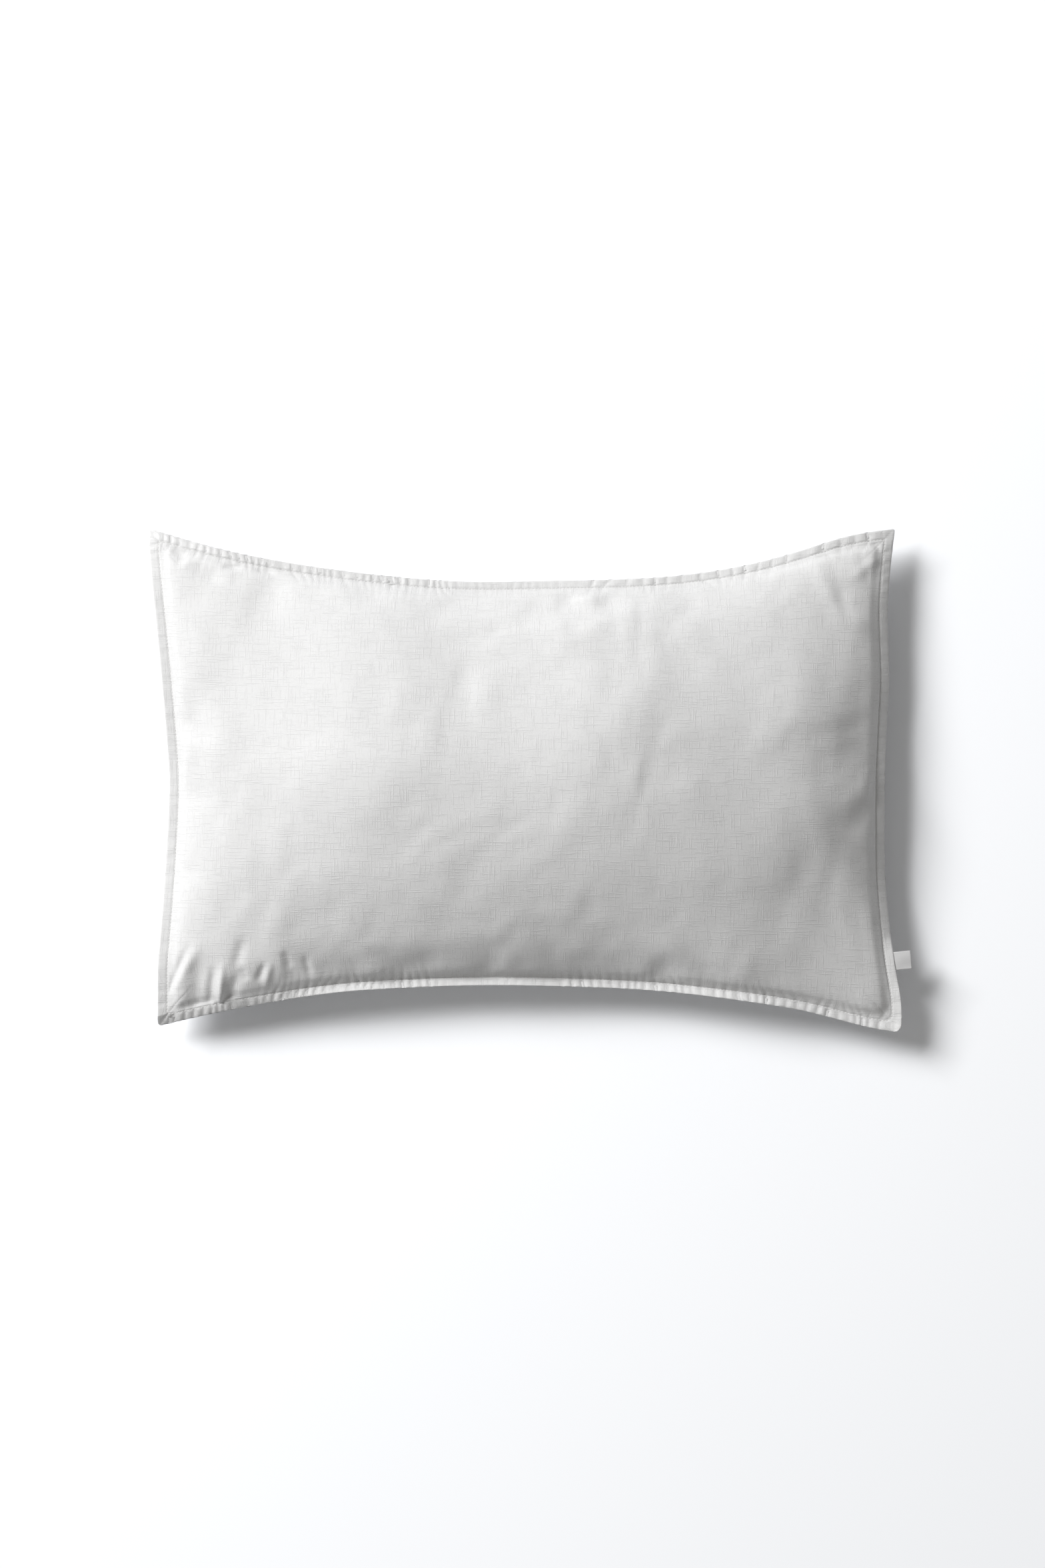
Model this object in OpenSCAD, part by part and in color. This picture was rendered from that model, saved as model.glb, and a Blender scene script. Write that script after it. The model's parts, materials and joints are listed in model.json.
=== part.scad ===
// Rectangular bed pillow: a flanged linen case with an envelope back, a folded ribbon label in the
// side seam, and a piped ticking insert filled with loose fibre.
// X runs along the pillow, Y across it, Z up. The origin is the centre of the face it rests on.

/* [Case laid flat] */
// Length of the case from flange edge to flange edge
flat_length = 750; // [700:10:800]
// Width of the case from flange edge to flange edge
flat_width = 500; // [460:10:540]
// Width of the flat flange outside the line of topstitching
flange_width = 10; // [9:1:12]
// Thickness of the linen
linen = 0.6; // [0.5:0.05:0.7]

/* [Filled shape] */
// Share of the flat length that is left between two filled corners
length_share = 0.967; // [0.955:0.001:0.98]
// Share of the flat width that is left between two filled corners
width_share = 0.972; // [0.96:0.001:0.98]
// How far the middle of a long edge is drawn in
long_edge_draw = 47; // [30:1:55]
// How far the middle of a short edge is drawn in
short_edge_draw = 15; // [8:1:20]
// Height of the seam above the floor
seam_height = 40; // [37:1:46]
// Height of the crown above the seam
dome_height = 80; // [75:1:96]
// How far the floor presses the underside in
floor_press = 6; // [4:1:7]

/* [Envelope opening] */
// Mesh line along which the hem of the back panel lies
hem_line = 8; // [7:1:9]
// Mesh line at which the underlap ends inside the case
flap_line = 13; // [12:1:15]

/* [Side label] */
// Width of the ribbon along the flange
label_width = 17; // [12:1:25]
// How far the folded ribbon stands out
label_reach = 17; // [12:1:25]
// Distance of the label's middle below the pillow's long axis
label_drop = 176; // [120:1:185]
// Thickness of the ribbon
ribbon = 0.3; // [0.2:0.05:0.3]

/* [Insert] */
// Thickness of the cotton ticking
ticking = 0.4; // [0.3:0.05:0.5]
// Diameter of the cord inside the piping
cord_diameter = 2.9; // [2.5:0.1:2.9]
// Thickness of the bias strip round the cord
strip = 0.25; // [0.2:0.05:0.25]
// Diameter of the sewing thread
thread = 0.4; // [0.3:0.05:0.4]

/* [Hidden] */
half_length = flat_length * length_share / 2;
half_width = flat_width * width_share / 2;

// Mesh lines across the pillow, closest together at the seams where the cloth turns down
length_cells = 34;
width_cells = 24;
insert_length_cells = 22;
insert_width_cells = 16;

// The flange is a stack: front layer, filling layer in the middle, back layer
layer_gap = 0.55;
layer_top = 1.35;
middle_half = 0.4;
middle_edge = 2;

// Insets of each skin from the flange's outer edge, outside inwards
skin_gap = 0.3;
front_inset = flange_width;
flap_inset = flange_width + linen + skin_gap;
care_inset = flange_width + 3.2;
piping_inset = flange_width + 7.05;
ticking_inset = flange_width + 9;
fill_inset = flange_width + 15;
ticking_low = 0.32;
ticking_high = ticking_low + ticking;
fill_rim = 0.5;

// How full each side is: powers and roots along and across, higher powers for a flatter middle
front_profile = [2.2, 0.72, 2, 0.85];
back_profile = [2.2, 0.33, 4.5, 0.36];

// How much lower each skin's crown is than the case's
flap_step = linen + skin_gap;
insert_step = 2.6;
fill_step = insert_step + ticking + 2 * skin_gap;

// Care ribbons: each hangs from a seam and lies along the skin beside it
care_ribbon = 0.2;
care_cells = 4;
case_care_ends = [-1, -0.95];
case_care_sides = [0.2, 0.34];
insert_care_ends = [-1, -0.96];
insert_care_sides = [-0.4, -0.28];

// Ribbon label: the two layers straddle the seam thread, and the fold turns about the hinge line
label_half = 0.5;
hinge_gap = 0.9;
tail_depth = 8;
label_v = -label_drop / half_width;
label_x = half_length - short_edge_draw * (1 - label_v * label_v);
label_tilt = atan(2 * short_edge_draw * -label_v / half_width);

// Threads, stitches and piping
topstitch_inset = flange_width - 0.8;
edge_seam_inset = 1;
fine_thread = 0.3;
thread_sides = 5;
cord_sides = 8;
stitch_clear = 0.02;
hem_stitch_step = 0.25;
insert_seam_inset = ticking_inset + 3.4;
insert_seam_rise = 0.5;
closing_inset = ticking_inset - 0.25;
closing_rise = 2.3;
closing_share = 0.3;
tail_reach = 5.6;
tail_gap = 0.03;
strip_outer = cord_diameter / 2 + 0.05 + strip;
strip_inner = cord_diameter / 2 + 0.05;

sewn_corner = 1.5;
piped_corner = 6.5;
long_steps = 14;
short_steps = 8;
arc_steps = 3;
tack_length = 8;
tack_width = 1.8;
tack_height = 0.5;

// ---- The shape that every skin of the pillow follows ----

// Place in plan of (u, v), each from -1 to 1 between the flange's outer edges
function plan(u, v) = [u * (half_length - short_edge_draw * (1 - v * v)),
                       v * (half_width - long_edge_draw * (1 - u * u))];

// Share of the crown's height at (a, b), each from -1 to 1 between the seams
function rise(a, b, profile) = pow(1 - pow(abs(a), profile[0]), profile[1])
                               * pow(1 - pow(abs(b), profile[2]), profile[3]);

// Height of a skin at (a, b). A skin is [inset, height at the seam, height at the crown, lowest z
// it may reach], and one with its crown above the seam belongs to the front.
function skin_height(skin, a, b) =
    let (profile = skin[2] > 0 ? front_profile : back_profile)
    max(skin[3], seam_height + skin[1] + (skin[2] - skin[1]) * rise(a, b, profile));

// Lines from -1 to 1 that crowd together at both ends; a part of them runs from one line to another
function lines(count, first, last) = [for (i = [first:last]) sin(90 * (2 * i / count - 1))];

// Evenly spaced lines
function even(low, high, count) = [for (i = [0:count]) low + (high - low) * i / count];

// Each line as its place between the seams and its place in plan. With an edge the flange's
// outer line is added wherever the lines reach a seam.
function stations(at, half, inset, edge) =
    let (inner = 1 - inset / half)
    let (outer = is_undef(edge) ? inner : 1 - edge / half)
    concat(!is_undef(edge) && at[0] == -1 ? [[-1, -outer]] : [],
           [for (t = at) [t, t * inner]],
           !is_undef(edge) && at[len(at) - 1] == 1 ? [[1, outer]] : []);

// A skin's points on its mesh lines
function skin_points(skin, a_lines, b_lines, edge) =
    [for (a = stations(a_lines, half_length, skin[0], edge))
        [for (b = stations(b_lines, half_width, skin[0], edge))
            let (p = plan(a[1], b[1]))
            [p[0], p[1], skin_height(skin, a[0], b[0])]]];

function joined(rows) = [for (row = rows) each row];

// Closed solid between an upper and a lower skin that share their mesh lines
module between(upper, lower, a_lines, b_lines, edge = undef) {
    top = skin_points(upper, a_lines, b_lines, edge);
    low = skin_points(lower, a_lines, b_lines, edge);
    a_at = stations(a_lines, half_length, upper[0], edge);
    b_at = stations(b_lines, half_width, upper[0], edge);
    na = len(top);
    nb = len(top[0]);
    half = na * nb;
    top_faces = [for (i = [0:na - 2], j = [0:nb - 2])
        let (p = i * nb + j)
        let (flip = (a_at[i][1] + a_at[i + 1][1] < 0) == (b_at[j][1] + b_at[j + 1][1] < 0))
        each flip ? [[p, p + nb + 1, p + nb], [p, p + 1, p + nb + 1]]
                  : [[p, p + 1, p + nb], [p + 1, p + nb + 1, p + nb]]];
    low_faces = [for (f = top_faces) [f[0] + half, f[2] + half, f[1] + half]];
    rim = concat([for (j = [0:nb - 2]) j],
                 [for (i = [0:na - 2]) i * nb + nb - 1],
                 [for (j = [nb - 1:-1:1]) (na - 1) * nb + j],
                 [for (i = [na - 1:-1:1]) i * nb]);
    walls = [for (k = [0:len(rim) - 1])
        let (p = rim[k])
        let (q = rim[(k + 1) % len(rim)])
        each [[p, q + half, q], [p, p + half, q + half]]];
    polyhedron(points = concat(joined(top), joined(low)), faces = concat(top_faces, low_faces, walls));
}

// ---- Seams, threads and piping that run round the pillow ----

// Rounded rectangle at an inset from the flange's outer edge, counter-clockwise seen from above
function ring(inset, radius) =
    let (hx = half_length - inset - radius)
    let (hy = half_width - inset - radius)
    let (corners = [[hx, -hy], [hx, hy], [-hx, hy], [-hx, -hy]])
    [for (q = [0:3])
        let (c = corners[q])
        let (d = corners[(q + 1) % 4])
        let (steps = q % 2 == 0 ? short_steps : long_steps)
        let (turn = 90 * q)
        each concat(
            [for (k = [0:arc_steps])
                let (angle = turn - 90 + 90 * k / arc_steps)
                c + radius * [cos(angle), sin(angle)]],
            [for (k = [1:steps - 1])
                c + (d - c) * k / steps + radius * [cos(turn), sin(turn)]])];

function unit(v) = v / norm(v);

// The ring bent to the pillow's drawn-in outline
function bent(points) = [for (p = points) plan(p[0] / half_length, p[1] / half_width)];

// Faces between the sections of a swept solid; a closed sweep joins its last section to its first
function sweep_faces(sections, sides, closed) =
    concat([for (i = [0:sections - (closed ? 1 : 2)], k = [0:sides - 1])
               let (p = i * sides + k)
               let (q = i * sides + (k + 1) % sides)
               let (r = ((i + 1) % sections) * sides + k)
               let (s = ((i + 1) % sections) * sides + (k + 1) % sides)
               each [[p, q, s], [p, s, r]]],
           closed ? [] : [[for (k = [sides - 1:-1:0]) k],
                          [for (k = [0:sides - 1]) (sections - 1) * sides + k]]);

// Sweeps an outline of [inwards, up] points round the ring, at a height z
module round_sweep(inset, z, outline, radius) {
    path = bent(ring(inset, radius));
    n = len(path);
    points = [for (i = [0:n - 1])
        let (t = unit(path[(i + 1) % n] - path[(i + n - 1) % n]))
        for (o = outline)
            [path[i][0] - t[1] * o[0], path[i][1] + t[0] * o[0], z + o[1]]];
    polyhedron(points = points, faces = sweep_faces(n, len(outline), true));
}

// Points round a circle, clockwise, with the middle of a side on the inward axis
function disc(radius, sides) = [for (k = [0:sides - 1])
    let (angle = -360 * (k + 0.5) / sides)
    radius * [cos(angle), sin(angle)]];

module thread_ring(inset, z, diameter, corner = sewn_corner) {
    round_sweep(inset, z, disc(diameter / 2, thread_sides), corner);
}

// Thread along a line of points that runs across the pillow
module thread_line(path, diameter) {
    n = len(path);
    points = [for (i = [0:n - 1])
        let (t = unit(path[min(i + 1, n - 1)] - path[max(i - 1, 0)]))
        let (side = unit([1, 0, 0] - t * t[0]))
        let (up = cross(side, t))
        for (o = disc(diameter / 2, thread_sides)) path[i] + side * o[0] + up * o[1]];
    polyhedron(points = points, faces = sweep_faces(n, thread_sides, false));
}

// ---- The case ----

module floor_cut() {
    difference() {
        children();
        translate([-flat_length, -flat_width, -flat_width])
            cube([2 * flat_length, 2 * flat_width, flat_width]);
    }
}

module case_front_panel() {
    color("#f4f3ef")
        between([front_inset, layer_top, dome_height, 0],
                [front_inset + linen, layer_gap, dome_height - linen, 0],
                lines(length_cells, 0, length_cells), lines(width_cells, 0, width_cells), 0);
}

module case_back_panel() {
    belly = seam_height + floor_press;
    color("#efeee9")
        floor_cut()
            between([front_inset + linen, -layer_gap, linen - belly, linen],
                    [front_inset, -layer_top, -belly, -belly],
                    lines(length_cells, hem_line, length_cells), lines(width_cells, 0, width_cells), 0);
}

module case_back_flap() {
    belly = seam_height + floor_press - flap_step;
    color("#ebeae5")
        between([flap_inset + linen, middle_half, linen - belly, flap_step + linen],
                [flap_inset, -middle_half, -belly, flap_step],
                lines(length_cells, 0, flap_line), lines(width_cells, 0, width_cells), middle_edge);
}

module topstitch_needle_thread() {
    color("#fbfaf6")
        thread_ring(topstitch_inset, seam_height + layer_top + thread / 2 + stitch_clear, thread);
}

module topstitch_bobbin_thread() {
    color("#f6f5f1")
        thread_ring(topstitch_inset, seam_height - layer_top - thread / 2 - stitch_clear, thread);
}

module edge_seam_thread() {
    color("#f0efea")
        thread_ring(edge_seam_inset, seam_height, fine_thread);
}

// Stitches across the pillow along one mesh line, a step below or above the skin they hold
module hem_stitches(skin, line, step) {
    a = lines(length_cells, line, line)[0];
    path = [for (b = lines(width_cells, 2, width_cells - 2))
        let (p = plan(a * (1 - skin[0] / half_length), b * (1 - skin[0] / half_width)))
        [p[0], p[1], skin_height(skin, a, b) + step]];
    thread_line(path, thread);
}

module opening_hem_thread() {
    belly = seam_height + floor_press;
    color("#fbfaf6")
        hem_stitches([front_inset - skin_gap, -layer_top, -belly, 0], hem_line + 1, -hem_stitch_step);
}

module flap_hem_thread() {
    belly = seam_height + floor_press - flap_step - linen;
    color("#fbfaf6")
        hem_stitches([flap_inset + linen + skin_gap, middle_half, -belly, flap_step + linen],
                     flap_line - 1, hem_stitch_step);
}

module opening_bar_tacks() {
    a = lines(length_cells, hem_line, hem_line)[0];
    color("#f9f8f4")
        for (side = [-1, 1]) {
            place = plan(a * (1 - flange_width / half_length), side * (1 - flange_width / 2 / half_width));
            translate([place[0], place[1], seam_height - layer_top - tack_height - stitch_clear])
                hull()
                    for (end = [-1, 1])
                        translate([end * (tack_length - tack_width) / 2, 0, 0])
                            cylinder(d = tack_width, h = tack_height, $fn = 24);
        }
}

// Puts its children at the label: local X stands out of the flange and local Y runs along it
module at_label(step) {
    translate([label_x, -label_drop, seam_height])
        rotate([0, 0, label_tilt])
            translate([step, 0, 0])
                children();
}

module side_label() {
    straight = label_reach - hinge_gap - label_half;
    color("#fafafa")
        at_label(hinge_gap)
            translate([0, label_width / 2, 0])
                rotate([90, 0, 0])
                    linear_extrude(height = label_width)
                        difference() {
                            union() {
                                translate([0, -label_half])
                                    square([straight, 2 * label_half]);
                                translate([straight, 0])
                                    circle(r = label_half, $fn = 32);
                            }
                            translate([-1, ribbon - label_half])
                                square([straight + 1, 2 * (label_half - ribbon)]);
                            translate([straight, 0])
                                circle(r = label_half - ribbon, $fn = 32);
                        }
}

module side_label_tails() {
    color("#f7f7f7")
        at_label(-tail_depth)
            for (low = [-label_half, label_half - ribbon])
                translate([0, -label_width / 2, low])
                    cube([tail_depth - 0.2, label_width, ribbon]);
}

module case_care_label() {
    belly = seam_height + floor_press - flap_step - linen - 0.5;
    ends = case_care_ends;
    sides = case_care_sides;
    color("#ffffff")
        between([care_inset + care_ribbon, -layer_gap, care_ribbon - belly, 0],
                [care_inset, -layer_gap - care_ribbon, -belly, 0],
                even(ends[0], ends[1], care_cells), even(sides[0], sides[1], care_cells));
}

// ---- The insert ----

module insert_skin(upper, lower) {
    between(upper, lower,
            lines(insert_length_cells, 0, insert_length_cells),
            lines(insert_width_cells, 0, insert_width_cells));
}

module insert_ticking_top() {
    crown = dome_height - insert_step + linen;
    color("#f6f4ec")
        insert_skin([ticking_inset, ticking_high, crown, 0],
                    [ticking_inset + ticking, ticking_low, crown - ticking, 0]);
}

module insert_ticking_bottom() {
    belly = seam_height + floor_press - insert_step;
    color("#f3f1e8")
        insert_skin([ticking_inset + ticking, -ticking_low, ticking - belly, insert_step + ticking],
                    [ticking_inset, -ticking_high, -belly, insert_step]);
}

module insert_piping_strip() {
    face = cos(180 / cord_sides);
    outer = disc(strip_outer, cord_sides);
    inner = disc(strip_inner, cord_sides);
    outline = concat([[tail_reach, -tail_gap - strip], [strip_outer * face, -tail_gap - strip]], outer,
                     [[strip_outer * face, tail_gap + strip], [tail_reach, tail_gap + strip],
                      [tail_reach, tail_gap], [strip_inner * face, tail_gap]],
                     [for (k = [cord_sides - 1:-1:0]) inner[k]],
                     [[strip_inner * face, -tail_gap], [tail_reach, -tail_gap]]);
    color("#e9e6dc")
        round_sweep(piping_inset, seam_height, outline, piped_corner);
}

module insert_piping_cord() {
    color("#efe9d8")
        round_sweep(piping_inset, seam_height, disc(cord_diameter / 2, cord_sides), piped_corner);
}

module insert_seam_thread() {
    color("#f8f6ee")
        for (side = [-1, 1])
            thread_ring(insert_seam_inset, seam_height + side * insert_seam_rise, fine_thread, piped_corner);
}

module insert_closing_stitch() {
    path = [for (b = even(-closing_share, closing_share, 10))
        let (p = plan(1 - closing_inset / half_length, b))
        [p[0], p[1], seam_height + closing_rise]];
    color("#f8f6ee")
        thread_line(path, fine_thread);
}

module insert_care_label() {
    crown = dome_height - insert_step + linen + 3 * care_ribbon;
    ends = insert_care_ends;
    sides = insert_care_sides;
    color("#ffffff")
        between([ticking_inset - 1, 2, crown, 0],
                [ticking_inset - 1 + care_ribbon, 2, crown - care_ribbon, 0],
                even(ends[0], ends[1], care_cells), even(sides[0], sides[1], care_cells));
}

module fibre_fill() {
    belly = seam_height + floor_press - fill_step;
    color("#fdfcf8")
        insert_skin([fill_inset, fill_rim, dome_height - fill_step + linen, 0],
                    [fill_inset, -fill_rim, -belly, fill_step]);
}

case_front_panel();
case_back_panel();
case_back_flap();
topstitch_needle_thread();
topstitch_bobbin_thread();
edge_seam_thread();
opening_hem_thread();
flap_hem_thread();
opening_bar_tacks();
side_label();
side_label_tails();
case_care_label();
insert_ticking_top();
insert_ticking_bottom();
insert_piping_strip();
insert_piping_cord();
insert_seam_thread();
insert_closing_stitch();
insert_care_label();
fibre_fill();
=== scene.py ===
import json
import logging
import math
from dataclasses import dataclass, field
from enum import Enum

import bpy
import numpy as np
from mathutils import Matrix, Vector
from mathutils.kdtree import KDTree


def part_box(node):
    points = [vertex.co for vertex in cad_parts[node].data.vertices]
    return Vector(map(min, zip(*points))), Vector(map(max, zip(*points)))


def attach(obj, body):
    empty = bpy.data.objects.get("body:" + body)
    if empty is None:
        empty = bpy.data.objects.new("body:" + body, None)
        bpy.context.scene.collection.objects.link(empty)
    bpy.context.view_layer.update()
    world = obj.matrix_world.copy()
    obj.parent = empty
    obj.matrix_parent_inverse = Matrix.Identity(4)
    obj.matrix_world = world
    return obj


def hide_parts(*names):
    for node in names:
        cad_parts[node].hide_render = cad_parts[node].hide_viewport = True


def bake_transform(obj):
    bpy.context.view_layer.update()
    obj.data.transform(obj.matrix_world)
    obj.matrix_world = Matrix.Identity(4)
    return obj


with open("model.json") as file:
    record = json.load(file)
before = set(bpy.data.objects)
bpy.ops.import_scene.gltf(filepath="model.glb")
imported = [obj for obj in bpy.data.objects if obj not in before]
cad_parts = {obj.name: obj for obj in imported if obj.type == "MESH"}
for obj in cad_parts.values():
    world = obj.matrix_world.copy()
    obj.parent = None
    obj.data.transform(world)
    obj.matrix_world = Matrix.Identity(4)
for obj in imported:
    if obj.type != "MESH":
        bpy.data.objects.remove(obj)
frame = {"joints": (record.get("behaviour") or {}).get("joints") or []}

LOG = logging.getLogger("bed_pillow")
MM = 0.001
PILLOW = "pillow"
CLOTH = "cloth"


# ---------------------------------------------------------------- small helpers


def smoothstep(low: float, high: float, value: np.ndarray) -> np.ndarray:
    """Rises smoothly from 0 at low to 1 at high.

    Args:
        low: where the step starts.
        high: where the step ends.
        value: where it is wanted.

    Returns:
        The step at each value.
    """
    t = np.clip((value - low) / (high - low), 0.0, 1.0)
    return t * t * (3.0 - 2.0 * t)


def eased_above(value: np.ndarray, floor: float, width: float) -> np.ndarray:
    """Keeps a height above a floor, easing into it.

    Args:
        value: heights.
        floor: the lowest height that is reached.
        width: over how much height the surface eases in.

    Returns:
        Heights that are never below the floor.
    """
    t = (value - floor) / width
    return floor + width * np.where(t > 1.0, t, np.maximum(t + 1.0, 0.0) ** 2 / 4.0)


def relief_noise(x: np.ndarray, y: np.ndarray, seed: int, octaves: int = 2) -> np.ndarray:
    """Smooth random relief over a plane, the same for the same seed.

    Args:
        x: first coordinate, about one hump to a unit.
        y: second coordinate, about one hump to a unit.
        seed: which relief.
        octaves: how many finer layers are added.

    Returns:
        Heights from about -1 to 1.
    """
    total = np.zeros(np.broadcast(x, y).shape)
    size, weight, norm = 1.0, 1.0, 0.0
    for octave in range(octaves):
        table = np.random.default_rng(seed * 31 + octave).uniform(-1.0, 1.0, (64, 64))
        px, py = x * size + 17.3, y * size + 5.1
        ix, iy = np.floor(px).astype(int), np.floor(py).astype(int)
        fx, fy = px - ix, py - iy
        fx = fx * fx * fx * (fx * (fx * 6 - 15) + 10)
        fy = fy * fy * fy * (fy * (fy * 6 - 15) + 10)
        a, b = table[ix % 64, iy % 64], table[(ix + 1) % 64, iy % 64]
        c, d = table[ix % 64, (iy + 1) % 64], table[(ix + 1) % 64, (iy + 1) % 64]
        total += weight * ((a + (b - a) * fx) * (1 - fy) + (c + (d - c) * fx) * fy)
        norm += weight
        size, weight = size * 2.0, weight * 0.5
    return total / norm * 1.6


def smoothed(row: np.ndarray, passes: int) -> np.ndarray:
    """Smooths points along a line and keeps both ends.

    Args:
        row: points, first axis along the line.
        passes: how many times each point moves to the mean of its neighbours.

    Returns:
        The smoothed points.
    """
    row = row.copy()
    for _ in range(passes):
        row[1:-1] = (row[:-2] + 2 * row[1:-1] + row[2:]) / 4
    return row


def blurred(grid: np.ndarray, passes: int) -> np.ndarray:
    """Smooths a grid of points both ways, keeping its four edges in line.

    Args:
        grid: points by row and column.
        passes: how many times.

    Returns:
        The smoothed grid.
    """
    for _ in range(passes):
        wide = np.pad(grid, ((1, 1), (1, 1), (0, 0)), mode="reflect", reflect_type="odd")
        wide = (wide[:-2] + 2 * wide[1:-1] + wide[2:]) / 4
        grid = (wide[:, :-2] + 2 * wide[:, 1:-1] + wide[:, 2:]) / 4
    return grid


def cubic_weights(at: np.ndarray, count: int) -> tuple[np.ndarray, np.ndarray]:
    """Catmull-Rom neighbours and weights along one axis.

    Args:
        at: places from 0 to count - 1.
        count: how many points the axis has.

    Returns:
        Four neighbour numbers and their weights for each place.
    """
    base = np.clip(np.floor(at).astype(int), 0, count - 2)
    f = at - base
    weights = np.stack(
        [
            -0.5 * f + f * f - 0.5 * f**3,
            1 - 2.5 * f * f + 1.5 * f**3,
            0.5 * f + 2 * f * f - 1.5 * f**3,
            -0.5 * f * f + 0.5 * f**3,
        ],
        axis=1,
    )
    numbers = np.clip(base[:, None] + np.arange(-1, 3)[None, :], 0, count - 1)
    return numbers, weights


def resampled(grid: np.ndarray, s: np.ndarray, t: np.ndarray) -> np.ndarray:
    """A finer or coarser copy of a grid of points, through a cubic surface.

    Args:
        grid: points by row and column.
        s: wanted rows, each -1 to 1.
        t: wanted columns, each -1 to 1.

    Returns:
        The points at every row and column wanted.
    """
    rows, row_weights = cubic_weights((s + 1) / 2 * (grid.shape[0] - 1), grid.shape[0])
    columns, column_weights = cubic_weights((t + 1) / 2 * (grid.shape[1] - 1), grid.shape[1])
    half = np.einsum("ak,akjc->ajc", row_weights, grid[rows])
    return np.einsum("bk,abkc->abc", column_weights, half[:, columns])


def grid_normals(grid: np.ndarray) -> np.ndarray:
    """Unit normals of a grid of points, upwards where rows run along X and columns along Y.

    Args:
        grid: points by row and column.

    Returns:
        One normal a point.
    """
    n = np.cross(np.gradient(grid, axis=0), np.gradient(grid, axis=1))
    return n / np.maximum(np.linalg.norm(n, axis=2, keepdims=True), 1e-12)


def crowded(low: float, high: float, step: float, fine: float, reach: float) -> np.ndarray:
    """Places from low to high, closer together near both ends.

    Args:
        low: first place.
        high: last place.
        step: spacing in the middle.
        fine: spacing at the ends.
        reach: how far from an end the spacing grows.

    Returns:
        The places.
    """
    places = [low]
    while places[-1] < (low + high) / 2:
        away = places[-1] - low
        places.append(places[-1] + fine + (step - fine) * min(1.0, away / reach))
    half = np.array(places)
    half = low + (half - low) * ((high - low) / 2) / (half[-1] - low)
    return np.concatenate([half, (low + high - half)[-2::-1]])


def mesh_object(
    name: str,
    points: np.ndarray,
    faces: list,
    cloth: np.ndarray | None = None,
) -> bpy.types.Object:
    """A smooth-shaded mesh object in the scene.

    Args:
        name: the piece's name.
        points: its points, in metres in the row frame.
        faces: its faces as tuples of point numbers.
        cloth: for a woven piece, each point's place on the flat cloth in metres.

    Returns:
        The object.
    """
    mesh = bpy.data.meshes.new(name)
    mesh.from_pydata(np.asarray(points).tolist(), [], faces)
    mesh.shade_smooth()
    if cloth is not None:
        layer = mesh.attributes.new(CLOTH, "FLOAT_VECTOR", "POINT")
        layer.data.foreach_set("vector", np.ascontiguousarray(cloth, np.float32).ravel())
    piece = bpy.data.objects.new(name, mesh)
    bpy.context.scene.collection.objects.link(piece)
    return piece


def grid_faces(rows: int, columns: int, first: int = 0, flip: bool = False) -> list:
    """Quads over a grid of points that is stored row by row.

    Args:
        rows: how many rows.
        columns: how many columns.
        first: number of the grid's first point.
        flip: whether the faces look the other way.

    Returns:
        The quads.
    """
    i, j = np.meshgrid(np.arange(rows - 1), np.arange(columns - 1), indexing="ij")
    p = first + i * columns + j
    quads = np.stack([p, p + columns, p + columns + 1, p + 1], axis=-1).reshape(-1, 4)
    if flip:
        quads = quads[:, ::-1]
    return quads.tolist()


class StitchKind(Enum):
    """Stitch length, gap, thread radius and how far the thread arches, in millimetres."""

    TOP = (2.9, 0.5, 0.2, 0.16)
    SEAM = (2.4, 0.3, 0.15, 0.1)


def capsules(name: str, spans: list, radius: float, arch: float) -> bpy.types.Object:
    """Many short lengths of thread with rounded ends, in one mesh.

    Args:
        name: the piece's name.
        spans: start, end and upward direction of each.
        radius: the thread's radius.
        arch: how far the middle of each stands up.

    Returns:
        The piece, with its place along and round the thread as cloth coordinates.
    """
    sides = 6
    along = np.array([0.0, 0.04, 0.2, 0.5, 0.8, 0.96, 1.0])
    girth = np.array([0.25, 0.7, 1.0, 1.0, 1.0, 0.7, 0.25])
    sink = np.array([-0.7, -0.45, 0.35, 1.0, 0.35, -0.45, -0.7])
    angle = 2 * np.pi * np.arange(sides) / sides
    starts, ends, ups = (np.array([span[k] for span in spans]) for k in range(3))
    forward = ends - starts
    lengths = np.linalg.norm(forward, axis=1, keepdims=True)
    forward = forward / lengths
    right = np.cross(forward, ups)
    right /= np.linalg.norm(right, axis=1, keepdims=True)
    ups = np.cross(right, forward)
    rise = ups[:, None] * (sink * arch)[None, :, None]
    middle = starts[:, None] + (ends - starts)[:, None] * along[None, :, None] + rise
    circle = np.cos(angle)[:, None, None, None] * right[None, :, None]
    circle = circle + np.sin(angle)[:, None, None, None] * ups[None, :, None]
    points = middle[None] + circle * (radius * girth)[None, None, :, None]
    points = points.transpose(1, 2, 0, 3).reshape(-1, 3)
    rings = len(along)
    faces = []
    for number in range(len(spans)):
        first = number * rings * sides
        for r in range(rings - 1):
            for k in range(sides):
                p, q = first + r * sides + k, first + r * sides + (k + 1) % sides
                faces.append((p, q, q + sides, p + sides))
        faces.append(tuple(first + k for k in range(sides - 1, -1, -1)))
        faces.append(tuple(first + (rings - 1) * sides + k for k in range(sides)))
    place = np.stack(np.broadcast_arrays(
        (lengths * along[None, :])[:, :, None], (angle * radius)[None, None, :], 0.0), axis=-1)
    return mesh_object(name, points, faces, place.reshape(-1, 3))


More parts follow.
